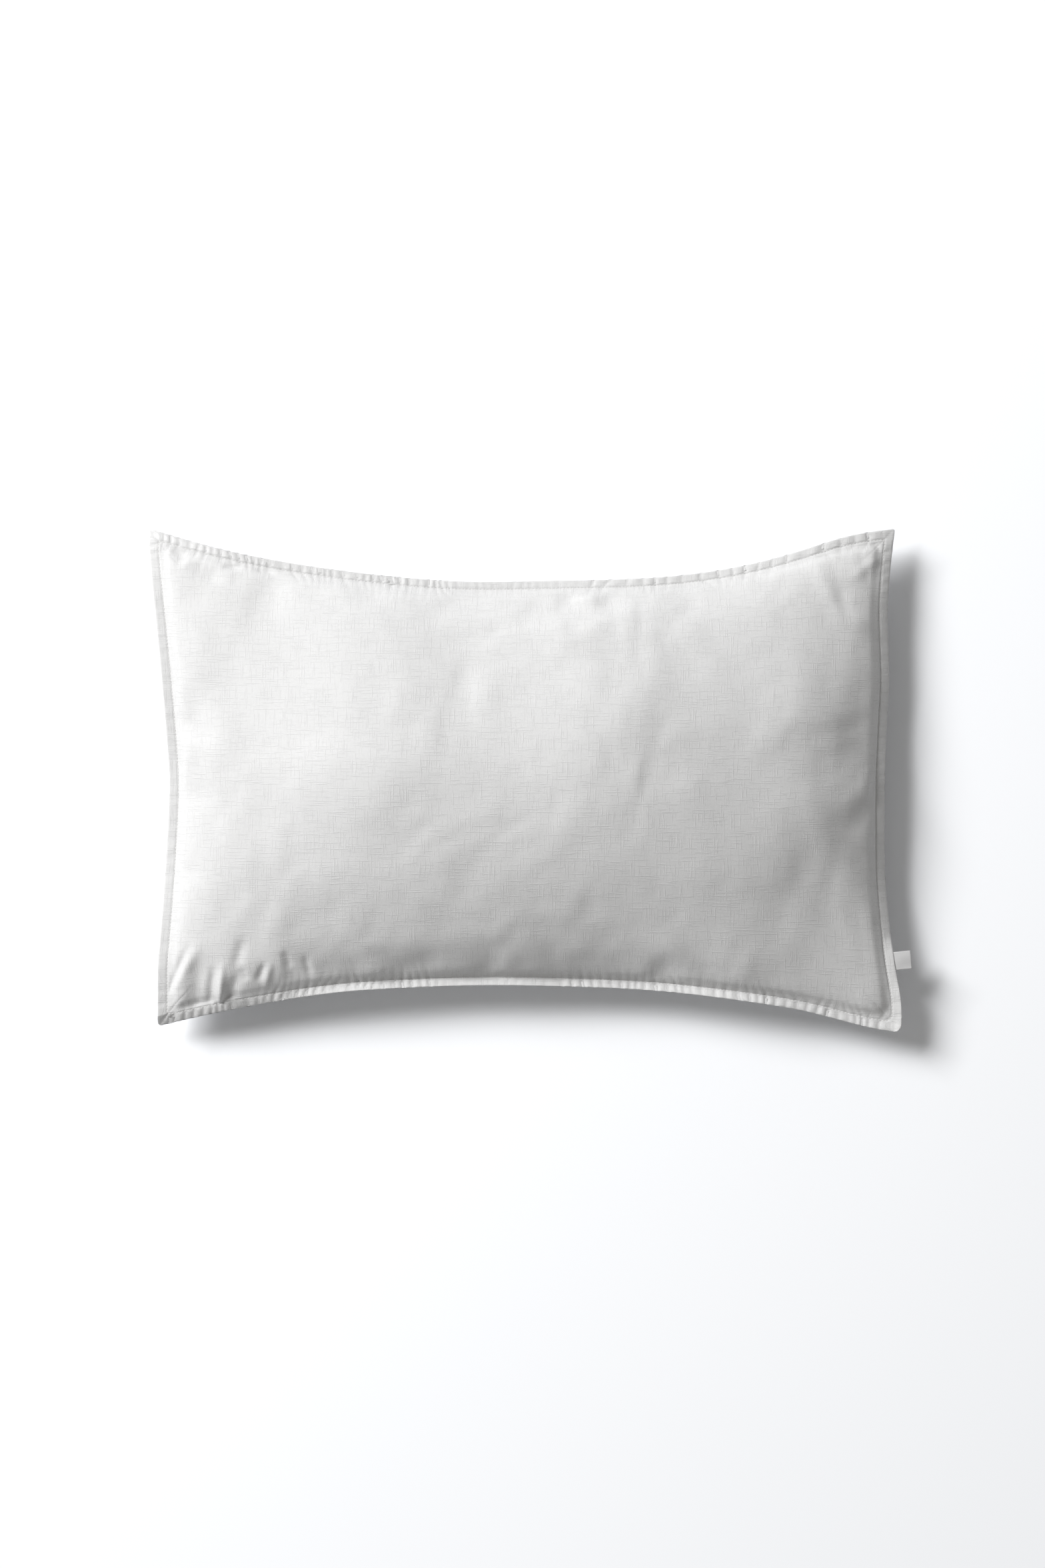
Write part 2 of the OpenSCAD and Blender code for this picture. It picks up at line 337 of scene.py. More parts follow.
def stitch_piece(
    name: str,
    path: np.ndarray,
    normals: np.ndarray,
    kind: StitchKind,
    closed: bool = True,
) -> bpy.types.Object:
    """Single stitches along a line on a surface.

    Args:
        name: the piece's name.
        path: the line's points.
        normals: the surface's normals along it.
        kind: which stitch.
        closed: whether the line comes back to its start.

    Returns:
        The piece, riding on the pillow.
    """
    length, gap, radius, arch = (value * MM for value in kind.value)
    if closed:
        path, normals = np.concatenate([path, path[:1]]), np.concatenate([normals, normals[:1]])
    run = np.concatenate([[0.0], np.cumsum(np.linalg.norm(np.diff(path, axis=0), axis=1))])
    count = int(run[-1] / (length + gap))
    pitch = run[-1] / count
    rng = np.random.default_rng(len(path))
    starts = np.arange(count) * pitch + rng.uniform(-0.08, 0.08, count) * MM
    ends = starts + pitch - gap + rng.uniform(-0.08, 0.08, count) * MM

    def at(where: np.ndarray, of: np.ndarray) -> np.ndarray:
        """Values of a line's rows at distances along it."""
        return np.stack([np.interp(where, run, of[:, axis]) for axis in range(3)], axis=1)

    up = at((starts + ends) / 2, normals)
    spans = list(zip(at(starts, path) + up * radius * 0.4, at(ends, path) + up * radius * 0.4, up))
    piece = capsules(name, spans, radius, arch)
    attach(piece, PILLOW)
    LOG.info("%s: %d stitches", name, count)
    return piece


# ---------------------------------------------------------------- the shape of the pillow


class Side(Enum):
    """The two sides of the case."""

    FRONT = 1
    BACK = -1


@dataclass(frozen=True)
class Dome:
    """How a side rises from the seam to its crown.

    (1 - |a|^long_power)^long_root * (1 - |b|^short_power)^short_root
    """

    long_power: float
    long_root: float
    short_power: float
    short_root: float

    def share(self, a: np.ndarray, b: np.ndarray) -> np.ndarray:
        """Share of the crown's height.

        Args:
            a: place along the pillow, -1 to 1 between the seams.
            b: place across it.

        Returns:
            0 at the seams, 1 at the middle.
        """
        long = (1 - np.minimum(np.abs(a), 1) ** self.long_power) ** self.long_root
        short = (1 - np.minimum(np.abs(b), 1) ** self.short_power) ** self.short_root
        return long * short


@dataclass(frozen=True)
class EdgeShift:
    """How far an edge stands outside the even outline, at places along it from -1 to 1."""

    places: tuple[float, ...]
    shifts: tuple[float, ...]

    def at(self, along: np.ndarray) -> np.ndarray:
        """Outward shift in metres.

        Args:
            along: place along the edge, -1 to 1.

        Returns:
            The shift, smooth along the edge.
        """
        table = np.interp(np.linspace(-1, 1, 201), self.places, self.shifts)
        return np.interp(along, np.linspace(-1, 1, 201), smoothed(table, 60)) * MM


@dataclass
class CaseForm:
    """Sizes of the filled case, worked out from the frame.

    All lengths are metres in the row frame. (u, v) runs from -1 to 1 between the flange's outer
    edges, u along the pillow and v across it.
    """

    flat_length: float = 0.750
    flat_width: float = 0.500
    flange: float = 0.010
    long_draw: float = 0.047
    short_draw: float = 0.015
    press: float = 0.006
    front: Dome = Dome(2.2, 0.72, 2.0, 0.85)
    back: Dome = Dome(2.2, 0.33, 4.5, 0.36)
    top_edge: EdgeShift = EdgeShift(
        (-1, -0.78, -0.5, -0.2, 0.08, 0.4, 0.6, 0.76, 0.88, 1), (4, -1.5, -3, -3.5, -1, -4.5, -3, 2.5, 9, 3)
    )
    bottom_edge: EdgeShift = EdgeShift(
        (-1, -0.5, -0.3, 0.1, 0.4, 0.75, 0.92, 1), (-3, -2.5, 1, 4, 2.5, 2, 7, 3)
    )
    left_edge: EdgeShift = EdgeShift((-1, -0.75, -0.4, 0, 0.35, 0.66, 0.93, 1), (-3, 3, 2, -1, 4, 7, 8.5, 6))
    right_edge: EdgeShift = EdgeShift(
        (-1, -0.88, -0.75, -0.4, 0, 0.4, 0.7, 1), (4, 8, 4, 1, 2.5, 5.5, -2, -2)
    )
    corner_radii: tuple[float, float, float, float] = (4.0, 9.0, 2.5, 4.0)
    half_length: float = 0.0
    half_width: float = 0.0
    seam_z: float = 0.0
    crown_z: float = 0.0

    def __post_init__(self) -> None:
        """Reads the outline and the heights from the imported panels."""
        low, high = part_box("case_front_panel")
        stitch_low, stitch_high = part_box("edge_seam_thread")
        self.half_length = (high.x - low.x) / 2
        self.half_width = (high.y - low.y) / 2
        self.crown_z = high.z
        self.seam_z = (stitch_low.z + stitch_high.z) / 2

    def plan(self, u: np.ndarray, v: np.ndarray) -> tuple[np.ndarray, np.ndarray]:
        """Place in plan, with the drawn-in edges and each edge's own unevenness.

        Args:
            u: place along the pillow.
            v: place across it.

        Returns:
            X and Y in metres.
        """
        u, v = self.rounded(u, v)
        x = u * (self.half_length - self.short_draw * (1 - v * v))
        y = v * (self.half_width - self.long_draw * (1 - u * u))
        y = y + self.top_edge.at(u) * smoothstep(0, 1, v) - self.bottom_edge.at(u) * smoothstep(0, 1, -v)
        x = x + self.right_edge.at(v) * smoothstep(0.3, 1, u) - self.left_edge.at(v) * smoothstep(0.3, 1, -u)
        return x, y

    def rounded(self, u: np.ndarray, v: np.ndarray) -> tuple[np.ndarray, np.ndarray]:
        """Rounds the corners of every line round the case, less and less further inside.

        Args:
            u: place along the pillow.
            v: place across it.

        Returns:
            Places with the corners rounded. The radii are for the lower left, lower right, upper
            right and upper left corner.
        """
        u, v = np.broadcast_arrays(np.asarray(u, float), np.asarray(v, float))
        low_left, low_right, up_right, up_left = self.corner_radii
        radius = np.where(
            v < 0, np.where(u < 0, low_left, low_right), np.where(u < 0, up_left, up_right)
        ) * MM
        to_x, to_y = (1 - np.abs(u)) * self.half_length, (1 - np.abs(v)) * self.half_width
        inset = np.minimum(to_x, to_y)
        radius = radius * (1 - smoothstep(0.012, 0.045, inset)) + 1e-6
        turn = np.clip((np.maximum(to_x, to_y) - inset) / radius, 0, 1) * np.pi / 4
        angle = np.pi / 4 + np.where(to_x > to_y, turn, -turn)
        near = (to_x < inset + radius) & (to_y < inset + radius)
        x = np.where(
            near, self.half_length - inset - radius * (1 - np.cos(angle)), np.abs(u) * self.half_length
        )
        y = np.where(
            near, self.half_width - inset - radius * (1 - np.sin(angle)), np.abs(v) * self.half_width
        )
        return np.sign(u) * x / self.half_length, np.sign(v) * y / self.half_width

    def seam_height(self, u: np.ndarray, v: np.ndarray) -> np.ndarray:
        """Height of the seam's plane: the corners sink a little and the edges wander.

        Args:
            u: place along the pillow.
            v: place across it.

        Returns:
            Z in metres.
        """
        corner = smoothstep(0.75, 1.0, np.abs(u)) * smoothstep(0.7, 1.0, np.abs(v))
        wander = relief_noise(u * 3.1, v * 2.3, 5, 1) * 2.5 * MM
        free = 1 - np.exp(-(((u - 1) / 0.25) ** 2 + ((v + 0.72) / 0.2) ** 2))
        return self.seam_z + (wander - 7 * MM * corner) * free

    def ring(self, inset: float, radius: float, count: int) -> np.ndarray:
        """A line round the pillow at a distance inside the flange's outer edge.

        Args:
            inset: the distance.
            radius: how round its corners are.
            count: about how many points it has.

        Returns:
            The points, at the seam's height, counter-clockwise from above.
        """
        hx, hy = self.half_length - inset - radius, self.half_width - inset - radius
        pieces = []
        for quarter, (cx, cy) in enumerate(((hx, -hy), (hx, hy), (-hx, hy), (-hx, -hy))):
            turn = np.pi / 2 * (quarter - 1) + np.linspace(0, np.pi / 2, 9)
            pieces.append(np.stack([cx + radius * np.cos(turn), cy + radius * np.sin(turn)], axis=1))
            nx, ny = ((hx, hy), (-hx, hy), (-hx, -hy), (hx, -hy))[quarter]
            out = turn[-1]
            share = count * (hy if quarter % 2 == 0 else hx) / (2 * (hx + hy))
            t = np.linspace(0, 1, int(share) + 1)[1:-1, None]
            ends = np.array([[cx, cy], [nx, ny]]) + radius * np.array([np.cos(out), np.sin(out)])
            pieces.append(ends[0] + (ends[1] - ends[0]) * t)
        flat = np.concatenate(pieces)
        u, v = flat[:, 0] / self.half_length, flat[:, 1] / self.half_width
        x, y = self.plan(u, v)
        return np.stack([x, y, self.seam_height(u, v)], axis=1)

    def skin(self, side: Side, u: np.ndarray, v: np.ndarray, inset: float, step: float) -> np.ndarray:
        """Points of a smooth skin that starts from the seam.

        Args:
            side: which side.
            u: place along the pillow.
            v: place across it.
            inset: how far inside the flange's outer edge the skin starts.
            step: how much nearer the seam's plane its crown is than the case's.

        Returns:
            Points, three numbers each.
        """
        a = u / (1 - inset / self.half_length)
        b = v / (1 - inset / self.half_width)
        x, y = self.plan(u, v)
        level = self.seam_height(u, v)
        if side is Side.FRONT:
            z = level + (self.crown_z - self.seam_z - step) * self.front.share(a, b)
        else:
            z = level - (self.seam_z + self.press - step) * self.back.share(a, b)
        return np.stack([x, y, z], axis=-1)


@dataclass
class Inflation:
    """Blows up a flat two-layer case with a cloth simulation and keeps its crumples."""

    form: CaseForm
    cell: float = 0.008
    pressure: float = 1.5
    frames: int = 24
    point_mass: float = 1041.7
    front: np.ndarray = field(default=None, repr=False)
    back: np.ndarray = field(default=None, repr=False)

    def flat_mesh(self) -> tuple[bpy.types.Object, np.ndarray, np.ndarray]:
        """Builds the flat case inside its topstitching, both layers joined at the seam.

        Returns:
            The object, and the vertex numbers of the front and of the back as grids.
        """
        length = self.form.flat_length - 2 * self.form.flange
        width = self.form.flat_width - 2 * self.form.flange
        nx, ny = round(length / self.cell) + 1, round(width / self.cell) + 1
        xs = np.linspace(-length / 2, length / 2, nx)
        ys = np.linspace(-width / 2, width / 2, ny)
        rng = np.random.default_rng(11)
        x, y = np.meshgrid(xs, ys, indexing="ij")
        rim = np.zeros((nx, ny), bool)
        rim[[0, -1], :] = True
        rim[:, [0, -1]] = True
        lift = np.where(rim, 0.0, 0.004 + 0.001 * rng.random((nx, ny)))
        front = np.arange(nx * ny).reshape(nx, ny)
        back = front.copy()
        back[~rim] = nx * ny + np.arange((~rim).sum())
        points = np.concatenate(
            [np.stack([x, y, lift], -1).reshape(-1, 3), np.stack([x, y, -lift], -1)[~rim]]
        )
        quads = np.array(grid_faces(nx, ny))
        faces = quads.tolist() + back.ravel()[quads][:, ::-1].tolist()
        return mesh_object("flat_case", points, faces), front, back

    def run(self) -> None:
        """Runs the simulation, keeps both skins as grids of points and removes the object."""
        flat, front, back = self.flat_mesh()
        cloth = flat.modifiers.new("cloth", "CLOTH")
        rule = cloth.settings
        rule.quality = 6
        rule.mass = self.point_mass * self.cell**2
        rule.air_damping = 2.0
        rule.tension_stiffness, rule.compression_stiffness, rule.shear_stiffness = 40, 20, 5
        rule.bending_stiffness, rule.bending_damping = 0.5, 0.5
        rule.tension_damping = rule.compression_damping = rule.shear_damping = 10
        rule.use_pressure = True
        rule.uniform_pressure_force = self.pressure
        rule.effector_weights.gravity = 0.0
        cloth.collision_settings.use_collision = False
        cloth.point_cache.frame_start, cloth.point_cache.frame_end = 1, self.frames
        scene = bpy.context.scene
        scene.frame_start, scene.frame_end = 1, self.frames
        for number in range(1, self.frames + 1):
            scene.frame_set(number)
        shown = flat.evaluated_get(bpy.context.evaluated_depsgraph_get())
        points = np.zeros(len(shown.data.vertices) * 3)
        shown.data.vertices.foreach_get("co", points)
        points = points.reshape(-1, 3)
        self.front, self.back = self.crumples(points[front]), self.crumples(points[back])
        bpy.data.objects.remove(flat, do_unlink=True)
        scene.frame_set(1)

    def crumples(self, grid: np.ndarray) -> np.ndarray:
        """How far a simulated skin stands out from its own smoothed shape.

        Args:
            grid: the skin's points.

        Returns:
            Heights along the normal in metres, 0 at the seam.
        """
        fine = blurred(grid, 1)
        coarse = blurred(grid, 14)
        out = ((fine - coarse) * grid_normals(coarse)).sum(axis=2)
        rim = np.ones(out.shape)
        rim[[0, -1], :] = 0
        rim[:, [0, -1]] = 0
        return out * rim

    def relief(self, side: Side, a: np.ndarray, b: np.ndarray) -> np.ndarray:
        """Simulated crumples at places between the seams.

        Args:
            side: which side.
            a: lines along the pillow, -1 to 1.
            b: lines across it.

        Returns:
            Heights for every pair of lines.
        """
        grid = self.front if side is Side.FRONT else self.back
        if grid is None:
            return np.zeros((len(a), len(b)))
        return resampled(grid[..., None], np.clip(a, -1, 1), np.clip(b, -1, 1))[..., 0]


@dataclass(frozen=True)
class Fold:
    """A soft ridge, or a hollow where its height is negative, between two places in plan.

    All in millimetres.
    """

    start: tuple[float, float]
    end: tuple[float, float]
    width: float
    height: float

    def at(self, x: np.ndarray, y: np.ndarray) -> np.ndarray:
        """Height of the fold.

        Args:
            x: X in metres.
            y: Y in metres.

        Returns:
            Height in metres.
        """
        px, py = x / MM - self.start[0], y / MM - self.start[1]
        dx, dy = self.end[0] - self.start[0], self.end[1] - self.start[1]
        length = math.hypot(dx, dy)
        along = (px * dx + py * dy) / length
        across = (py * dx - px * dy) / length
        t = along / length
        taper = smoothstep(-0.45, 0.3, t) * (1 - smoothstep(0.7, 1.45, t))
        return self.height * MM * taper * np.exp(-((across / self.width) ** 2))


@dataclass(frozen=True)
class Gathers:
    """Small puckers that a seam draws into the cloth along one edge.

    Each span is its start and end, how strong its puckers are, their pitch and half of a crease's
    width, in millimetres.
    """

    seed: int
    spans: tuple[tuple[float, float, float, float, float], ...]

    def at(self, along: np.ndarray, away: np.ndarray) -> np.ndarray:
        """Height of the puckers, from about -1 to 1.

        Args:
            along: place along the edge in metres.
            away: distance from the edge in metres, which slants and bends the puckers.

        Returns:
            Their height at each place.
        """
        s = along / MM
        d = away / MM
        total = np.zeros(np.broadcast(s, d).shape)
        for number, (low, high, amount, pitch, crease) in enumerate(self.spans):
            seed = self.seed + 10 * number
            bend = relief_noise(s / 30.0, d / 26.0, seed + 7, 1)
            phase = s / pitch + 0.38 * relief_noise(s / (2.6 * pitch), d / 60.0, seed, 1) + bend * 0.03 * d
            turn = phase - np.floor(phase) - 0.5
            hollow = np.exp(-((turn * pitch / crease) ** 2))
            uneven = np.clip(0.95 + 0.35 * relief_noise(np.floor(phase) * 3.7, 0.0, seed + 5, 1), 0.35, 1.5)
            soft = np.cos(2 * np.pi * turn) * 0.25 + 0.3 * relief_noise(
                s / (0.45 * pitch), d / 14.0, seed + 3, 1
            )
            span = smoothstep(low - 12, low + 12, s) * (1 - smoothstep(high - 12, high + 12, s))
            total = total + amount * span * (-hollow * uneven - soft + 0.25)
        return total


# ---------------------------------------------------------------- finishes


class NodeSet:
    """Adds nodes to a material or a node group, with short calls."""

    def __init__(self, tree: bpy.types.NodeTree) -> None:
        """Keeps the tree that the nodes go into."""
        self.tree = tree

    def add(self, kind: str, inputs: dict | None = None, **settings: object) -> bpy.types.Node:
        """Adds a node.

        Args:
            kind: the node's type name.
            inputs: a value or another node's output for each input, by name or number.
            settings: the node's own properties.

        Returns:
            The node.
        """
        node = self.tree.nodes.new(kind)
        for name, value in settings.items():
            setattr(node, name, value)
        for key, value in (inputs or {}).items():
            if isinstance(value, bpy.types.NodeSocket):
                self.tree.links.new(value, node.inputs[key])
            else:
                node.inputs[key].default_value = value
        return node

    def math(self, operation: str, *values: object) -> bpy.types.NodeSocket:
        """Adds a Math node.

        Args:
            operation: its operation.
            values: its inputs.

        Returns:
            Its output.
        """
        return self.add("ShaderNodeMath", dict(enumerate(values)), operation=operation).outputs[0]

    def ramp(self, value: bpy.types.NodeSocket, low: float, high: float) -> bpy.types.NodeSocket:
        """A smooth step from 0 at low to 1 at high.

        Args:
            value: what is stepped.
            low: where it starts.
            high: where it ends.

        Returns:
            The step.
        """
        node = self.add(
            "ShaderNodeMapRange",
            {"Value": value, "From Min": low, "From Max": high},
            interpolation_type="SMOOTHSTEP",
        )
        return node.outputs[0]

    def noise(
        self,
        vector: bpy.types.NodeSocket,
        scale: tuple[float, float, float],
        detail: float = 2.0,
    ) -> bpy.types.NodeSocket:
        """Noise over stretched coordinates.

        Args:
            vector: coordinates.
            scale: how much each axis is multiplied.
            detail: how many finer layers it has.

        Returns:
            The noise, about 0.3 to 0.7.
        """
        stretched = self.add("ShaderNodeVectorMath", {0: vector, 1: scale}, operation="MULTIPLY")
        noise = self.add(
            "ShaderNodeTexNoise", {"Vector": stretched.outputs[0], "Scale": 1.0, "Detail": detail}
        )
        return noise.outputs["Fac"]

    def dress(
        self,
        tone: bpy.types.NodeSocket,
        colours: tuple[tuple[float, float, float], tuple[float, float, float]],
        rough: bpy.types.NodeSocket,
        height: bpy.types.NodeSocket,
        constants: dict[str, float],
    ) -> None:
        """Feeds the material's shader.

        Args:
            tone: mix from the first colour to the second.
            colours: the two colours.
            rough: roughness.
            height: height of the surface in metres.
            constants: fixed value of each other socket.
        """
        shader = self.tree.nodes["Principled BSDF"]
        mix = {"Factor": tone, 6: (*colours[0], 1.0), 7: (*colours[1], 1.0)}
        colour = self.add("ShaderNodeMix", mix, data_type="RGBA").outputs[2]
        bump = self.add("ShaderNodeBump", {"Height": height, "Strength": 1.0, "Distance": 1.0}).outputs[0]
        for name, value in (("Base Color", colour), ("Roughness", rough), ("Normal", bump)):
            self.tree.links.new(value, shader.inputs[name])
        for name, value in constants.items():
            shader.inputs[name].default_value = value


def new_material(name: str) -> tuple[bpy.types.Material, NodeSet, bpy.types.NodeSocket]:
    """Starts a material whose textures follow a piece's cloth coordinates.

    Args:
        name: the material's name.

    Returns:
        The material, its nodes and the coordinates.
    """
    material = bpy.data.materials.new(name)
    material.use_nodes = True
    n = NodeSet(material.node_tree)
    return material, n, n.add("ShaderNodeAttribute", attribute_name=CLOTH).outputs["Vector"]


def effect_group(
    name: str,
    inputs: dict[str, object],
    outputs: tuple[str, ...],
) -> tuple[bpy.types.NodeTree, NodeSet, bpy.types.Node, bpy.types.Node] | None:
    """Starts a shader node group with named sockets.

    Args:
        name: the group's name.
        inputs: each input's default number, or None for a vector.
        outputs: the names of its value outputs.

    Returns:
        The group, its node set, and its input and output nodes.
    """
    group = bpy.data.node_groups.new(name, "ShaderNodeTree")
    for key, value in inputs.items():
        kind = "NodeSocketVector" if value is None else "NodeSocketFloat"
        socket = group.interface.new_socket(name=key, in_out="INPUT", socket_type=kind)
        if value is not None:
            socket.default_value = value
    for key in outputs:
        group.interface.new_socket(name=key, in_out="OUTPUT", socket_type="NodeSocketFloat")
    nodes = NodeSet(group)
    return group, nodes, nodes.add("NodeGroupInput"), nodes.add("NodeGroupOutput")


def weave_group() -> bpy.types.NodeTree:
    """Plain weave: rounded yarns that pass over and under each other.

    Returns:
        The group, with Cloth and Pitch in and Height and Gap out.
    """
    if "plain_weave" in bpy.data.node_groups:
        return bpy.data.node_groups["plain_weave"]
    group, n, given, result = effect_group("plain_weave", {"Cloth": None, "Pitch": 0.0006}, ("Height", "Gap Shade"))
    parts = n.add("ShaderNodeSeparateXYZ", {0: given.outputs["Cloth"]})
    wobble = n.math(
        "MULTIPLY", n.math("SUBTRACT", n.noise(given.outputs["Cloth"], (700.0, 700.0, 1.0)), 0.5), 0.9
    )
    waves = []
    for axis in ("X", "Y"):
        turns = n.math("ADD", n.math("DIVIDE", parts.outputs[axis], given.outputs["Pitch"]), wobble)
        waves.append((turns, n.math("ABSOLUTE", n.math("SINE", n.math("MULTIPLY", turns, math.pi)))))
    over = n.math(
        "MODULO",
        n.math("ABSOLUTE", n.math("ADD", n.math("FLOOR", waves[0][0]), n.math("FLOOR", waves[1][0]))),
        2.0,
    )
    under = n.math("SUBTRACT", 1.0, over)
    height = n.math("ADD", n.math("MULTIPLY", waves[0][1], over), n.math("MULTIPLY", waves[1][1], under))
    # The openings between the yarns, as a mask for the painted shade in them.
    gap = n.math("SUBTRACT", 1.0, n.ramp(n.math("MULTIPLY", waves[0][1], waves[1][1]), 0.0, 0.35))
    group.links.new(height, result.inputs["Height"])
    group.links.new(gap, result.inputs["Gap Shade"])
    return group


def slub_group() -> bpy.types.NodeTree:
    """Uneven linen yarns: long thick stretches along both directions of the weave.

    Returns:
        The group, with Cloth, Width, Length and Rarity in and Height and Tone out.
    """
    if "slub_yarns" in bpy.data.node_groups:
        return bpy.data.node_groups["slub_yarns"]
    group, n, given, result = effect_group(
        "slub_yarns", {"Cloth": None, "Width": 0.0011, "Length": 0.024, "Rarity": 0.56}, ("Height", "Tone")
    )
    parts = n.add("ShaderNodeSeparateXYZ", {0: given.outputs["Cloth"]})
    layers, tones = [], []
    for order, (thin, long) in enumerate((("X", "Y"), ("Y", "X"))):
        across = n.math("DIVIDE", parts.outputs[thin], given.outputs["Width"])
        along = n.math("DIVIDE", parts.outputs[long], given.outputs["Length"])
        place = n.add("ShaderNodeCombineXYZ", {0: across, 1: along, 2: 7.3 * order})
        noise = n.add(
            "ShaderNodeTexNoise", {"Vector": place.outputs[0], "Scale": 1.0, "Detail": 2.0}
        ).outputs["Fac"]
        tones.append(noise)
        above = n.math("SUBTRACT", noise, given.outputs["Rarity"])
        layers.append(n.ramp(above, 0.0, 0.12))
    group.links.new(n.math("MAXIMUM", *layers), result.inputs["Height"])
    group.links.new(n.math("MULTIPLY", n.math("ADD", *tones), 0.5), result.inputs["Tone"])
    return group


@dataclass(frozen=True)
class LinenFinish:
    """Washed white linen: plain weave, slubs, a slightly uneven tone and painted shade in the openings
    between the yarns.
    """

    name: str = "washed_linen"
    light: tuple[float, float, float] = (0.645, 0.645, 0.645)
    dark: tuple[float, float, float] = (0.591, 0.591, 0.591)
    pitch: float = 0.00062
    roughness: float = 0.86
    weave_depth: float = 0.00005
    slub_depth: float = 0.00012

    def material(self) -> bpy.types.Material:
        """Builds the material.

        Returns:
            The material.
        """
        material, n, cloth = new_material(self.name)
        weave = n.add("ShaderNodeGroup", node_tree=weave_group())
        slubs = n.add("ShaderNodeGroup", node_tree=slub_group())
        for group in (weave, slubs):
            material.node_tree.links.new(cloth, group.inputs["Cloth"])
        weave.inputs["Pitch"].default_value = self.pitch
        patches = n.noise(cloth, (22.0, 13.0, 1.0), 3.0)
        grain = n.noise(cloth, (420.0, 420.0, 1.0), 2.0)
        tone = n.math("ADD", n.math("MULTIPLY", slubs.outputs["Tone"], 0.7), n.math("MULTIPLY", patches, 0.4))
        tone = n.math("ADD", tone, n.math("MULTIPLY", grain, 0.5))
        tone = n.ramp(tone, 0.55, 1.15)
        # Painted shade: the openings between the yarns are painted darker.
        tone = n.math("MAXIMUM", tone, n.math("MULTIPLY", weave.outputs["Gap Shade"], 0.5))
        rough = n.math("ADD", self.roughness - 0.05, n.math("MULTIPLY", slubs.outputs["Tone"], 0.1))
        height = n.math(
            "ADD",
            n.math("MULTIPLY", weave.outputs["Height"], self.weave_depth),
            n.math("MULTIPLY", slubs.outputs["Height"], self.slub_depth),
        )
        fixed = {"Specular IOR Level": 0.2, "Sheen Weight": 0.15, "Sheen Roughness": 0.5}
        n.dress(tone, (self.light, self.dark), rough, height, fixed)
        return material


@dataclass(frozen=True)
class ThreadFinish:
    """Two-ply cotton sewing thread, with painted shade in the grooves between its plies."""

    name: str = "cotton_thread"
    light: tuple[float, float, float] = (0.80, 0.80, 0.79)
    dark: tuple[float, float, float] = (0.55, 0.55, 0.54)
    twist: float = 0.0007

    def material(self) -> bpy.types.Material:
        """Builds the material.

        Returns:
            The material.
        """
        material, n, place = new_material(self.name)
        parts = n.add("ShaderNodeSeparateXYZ", {0: place})
        spiral = n.math(
            "ADD",
            n.math("DIVIDE", parts.outputs["X"], self.twist),
            n.math("MULTIPLY", parts.outputs["Y"], 800.0),
        )
        ply = n.math("ABSOLUTE", n.math("SINE", n.math("MULTIPLY", spiral, math.pi)))
        fuzz = n.noise(place, (4000.0, 9000.0, 1.0))
        # Painted shade: each ply's crown is lighter and the grooves between plies darker, with random fuzz
        # over it.
        tone = n.math("ADD", n.math("MULTIPLY", ply, 0.7), n.math("MULTIPLY", fuzz, 0.5))
        rough = n.math("ADD", 0.55, n.math("MULTIPLY", fuzz, 0.25))
        height = n.math("MULTIPLY", tone, 0.00008)
        n.dress(n.ramp(tone, 0.2, 0.9), (self.dark, self.light), rough, height, {"Specular IOR Level": 0.3})
        return material


@dataclass(frozen=True)
class WovenFinish:
    """A woven fabric with one kind of yarn: ribbon, ticking, piping or cord cotton, with painted shade in the
    hollows of its weave.
    """

    name: str
    light: tuple[float, float, float]
    dark: tuple[float, float, float]
    pitch: float
    stretch: tuple[float, float] = (1.0, 1.0)
    diagonal: float = 0.0
    roughness: float = 0.7
    depth: float = 0.00004
    specular: float = 0.25
    sheen: float = 0.1
    unevenness: float = 0.35

    def material(self) -> bpy.types.Material:
        """Builds the material.

        Returns:
            The material.
        """
        material, n, cloth = new_material(self.name)
        place = n.add(
            "ShaderNodeVectorMath", {0: cloth, 1: (*self.stretch, 1.0)}, operation="MULTIPLY"
        ).outputs[0]
        weave = n.add("ShaderNodeGroup", {"Cloth": place, "Pitch": self.pitch}, node_tree=weave_group())
        parts = n.add("ShaderNodeSeparateXYZ", {0: cloth})
        steps = n.math("DIVIDE", n.math("ADD", parts.outputs["X"], parts.outputs["Y"]), self.pitch * 2.5)
        twill = n.math("ABSOLUTE", n.math("SINE", n.math("MULTIPLY", steps, math.pi)))
        height = n.add(
            "ShaderNodeMix", {
                "Factor": self.diagonal, 2: weave.outputs["Height"], 3: twill
            }, data_type="FLOAT"
        ).outputs[0]
        uneven = n.noise(cloth, (160.0, 90.0, 60.0), 3.0)
        # Painted shade: the yarn crowns are painted lighter and the hollows of the weave darker, with a
        # random unevenness over it.
        tone = n.math("ADD", n.math("MULTIPLY", height, 0.75), n.math("MULTIPLY", uneven, self.unevenness))
        tone = n.ramp(tone, 0.05, 1.0)
        rough = n.math("ADD", self.roughness - 0.04, n.math("MULTIPLY", uneven, 0.08))
        height = n.math("MULTIPLY", height, self.depth)
        fixed = {"Specular IOR Level": self.specular, "Sheen Weight": self.sheen}
        n.dress(tone, (self.dark, self.light), rough, height, fixed)
        return material


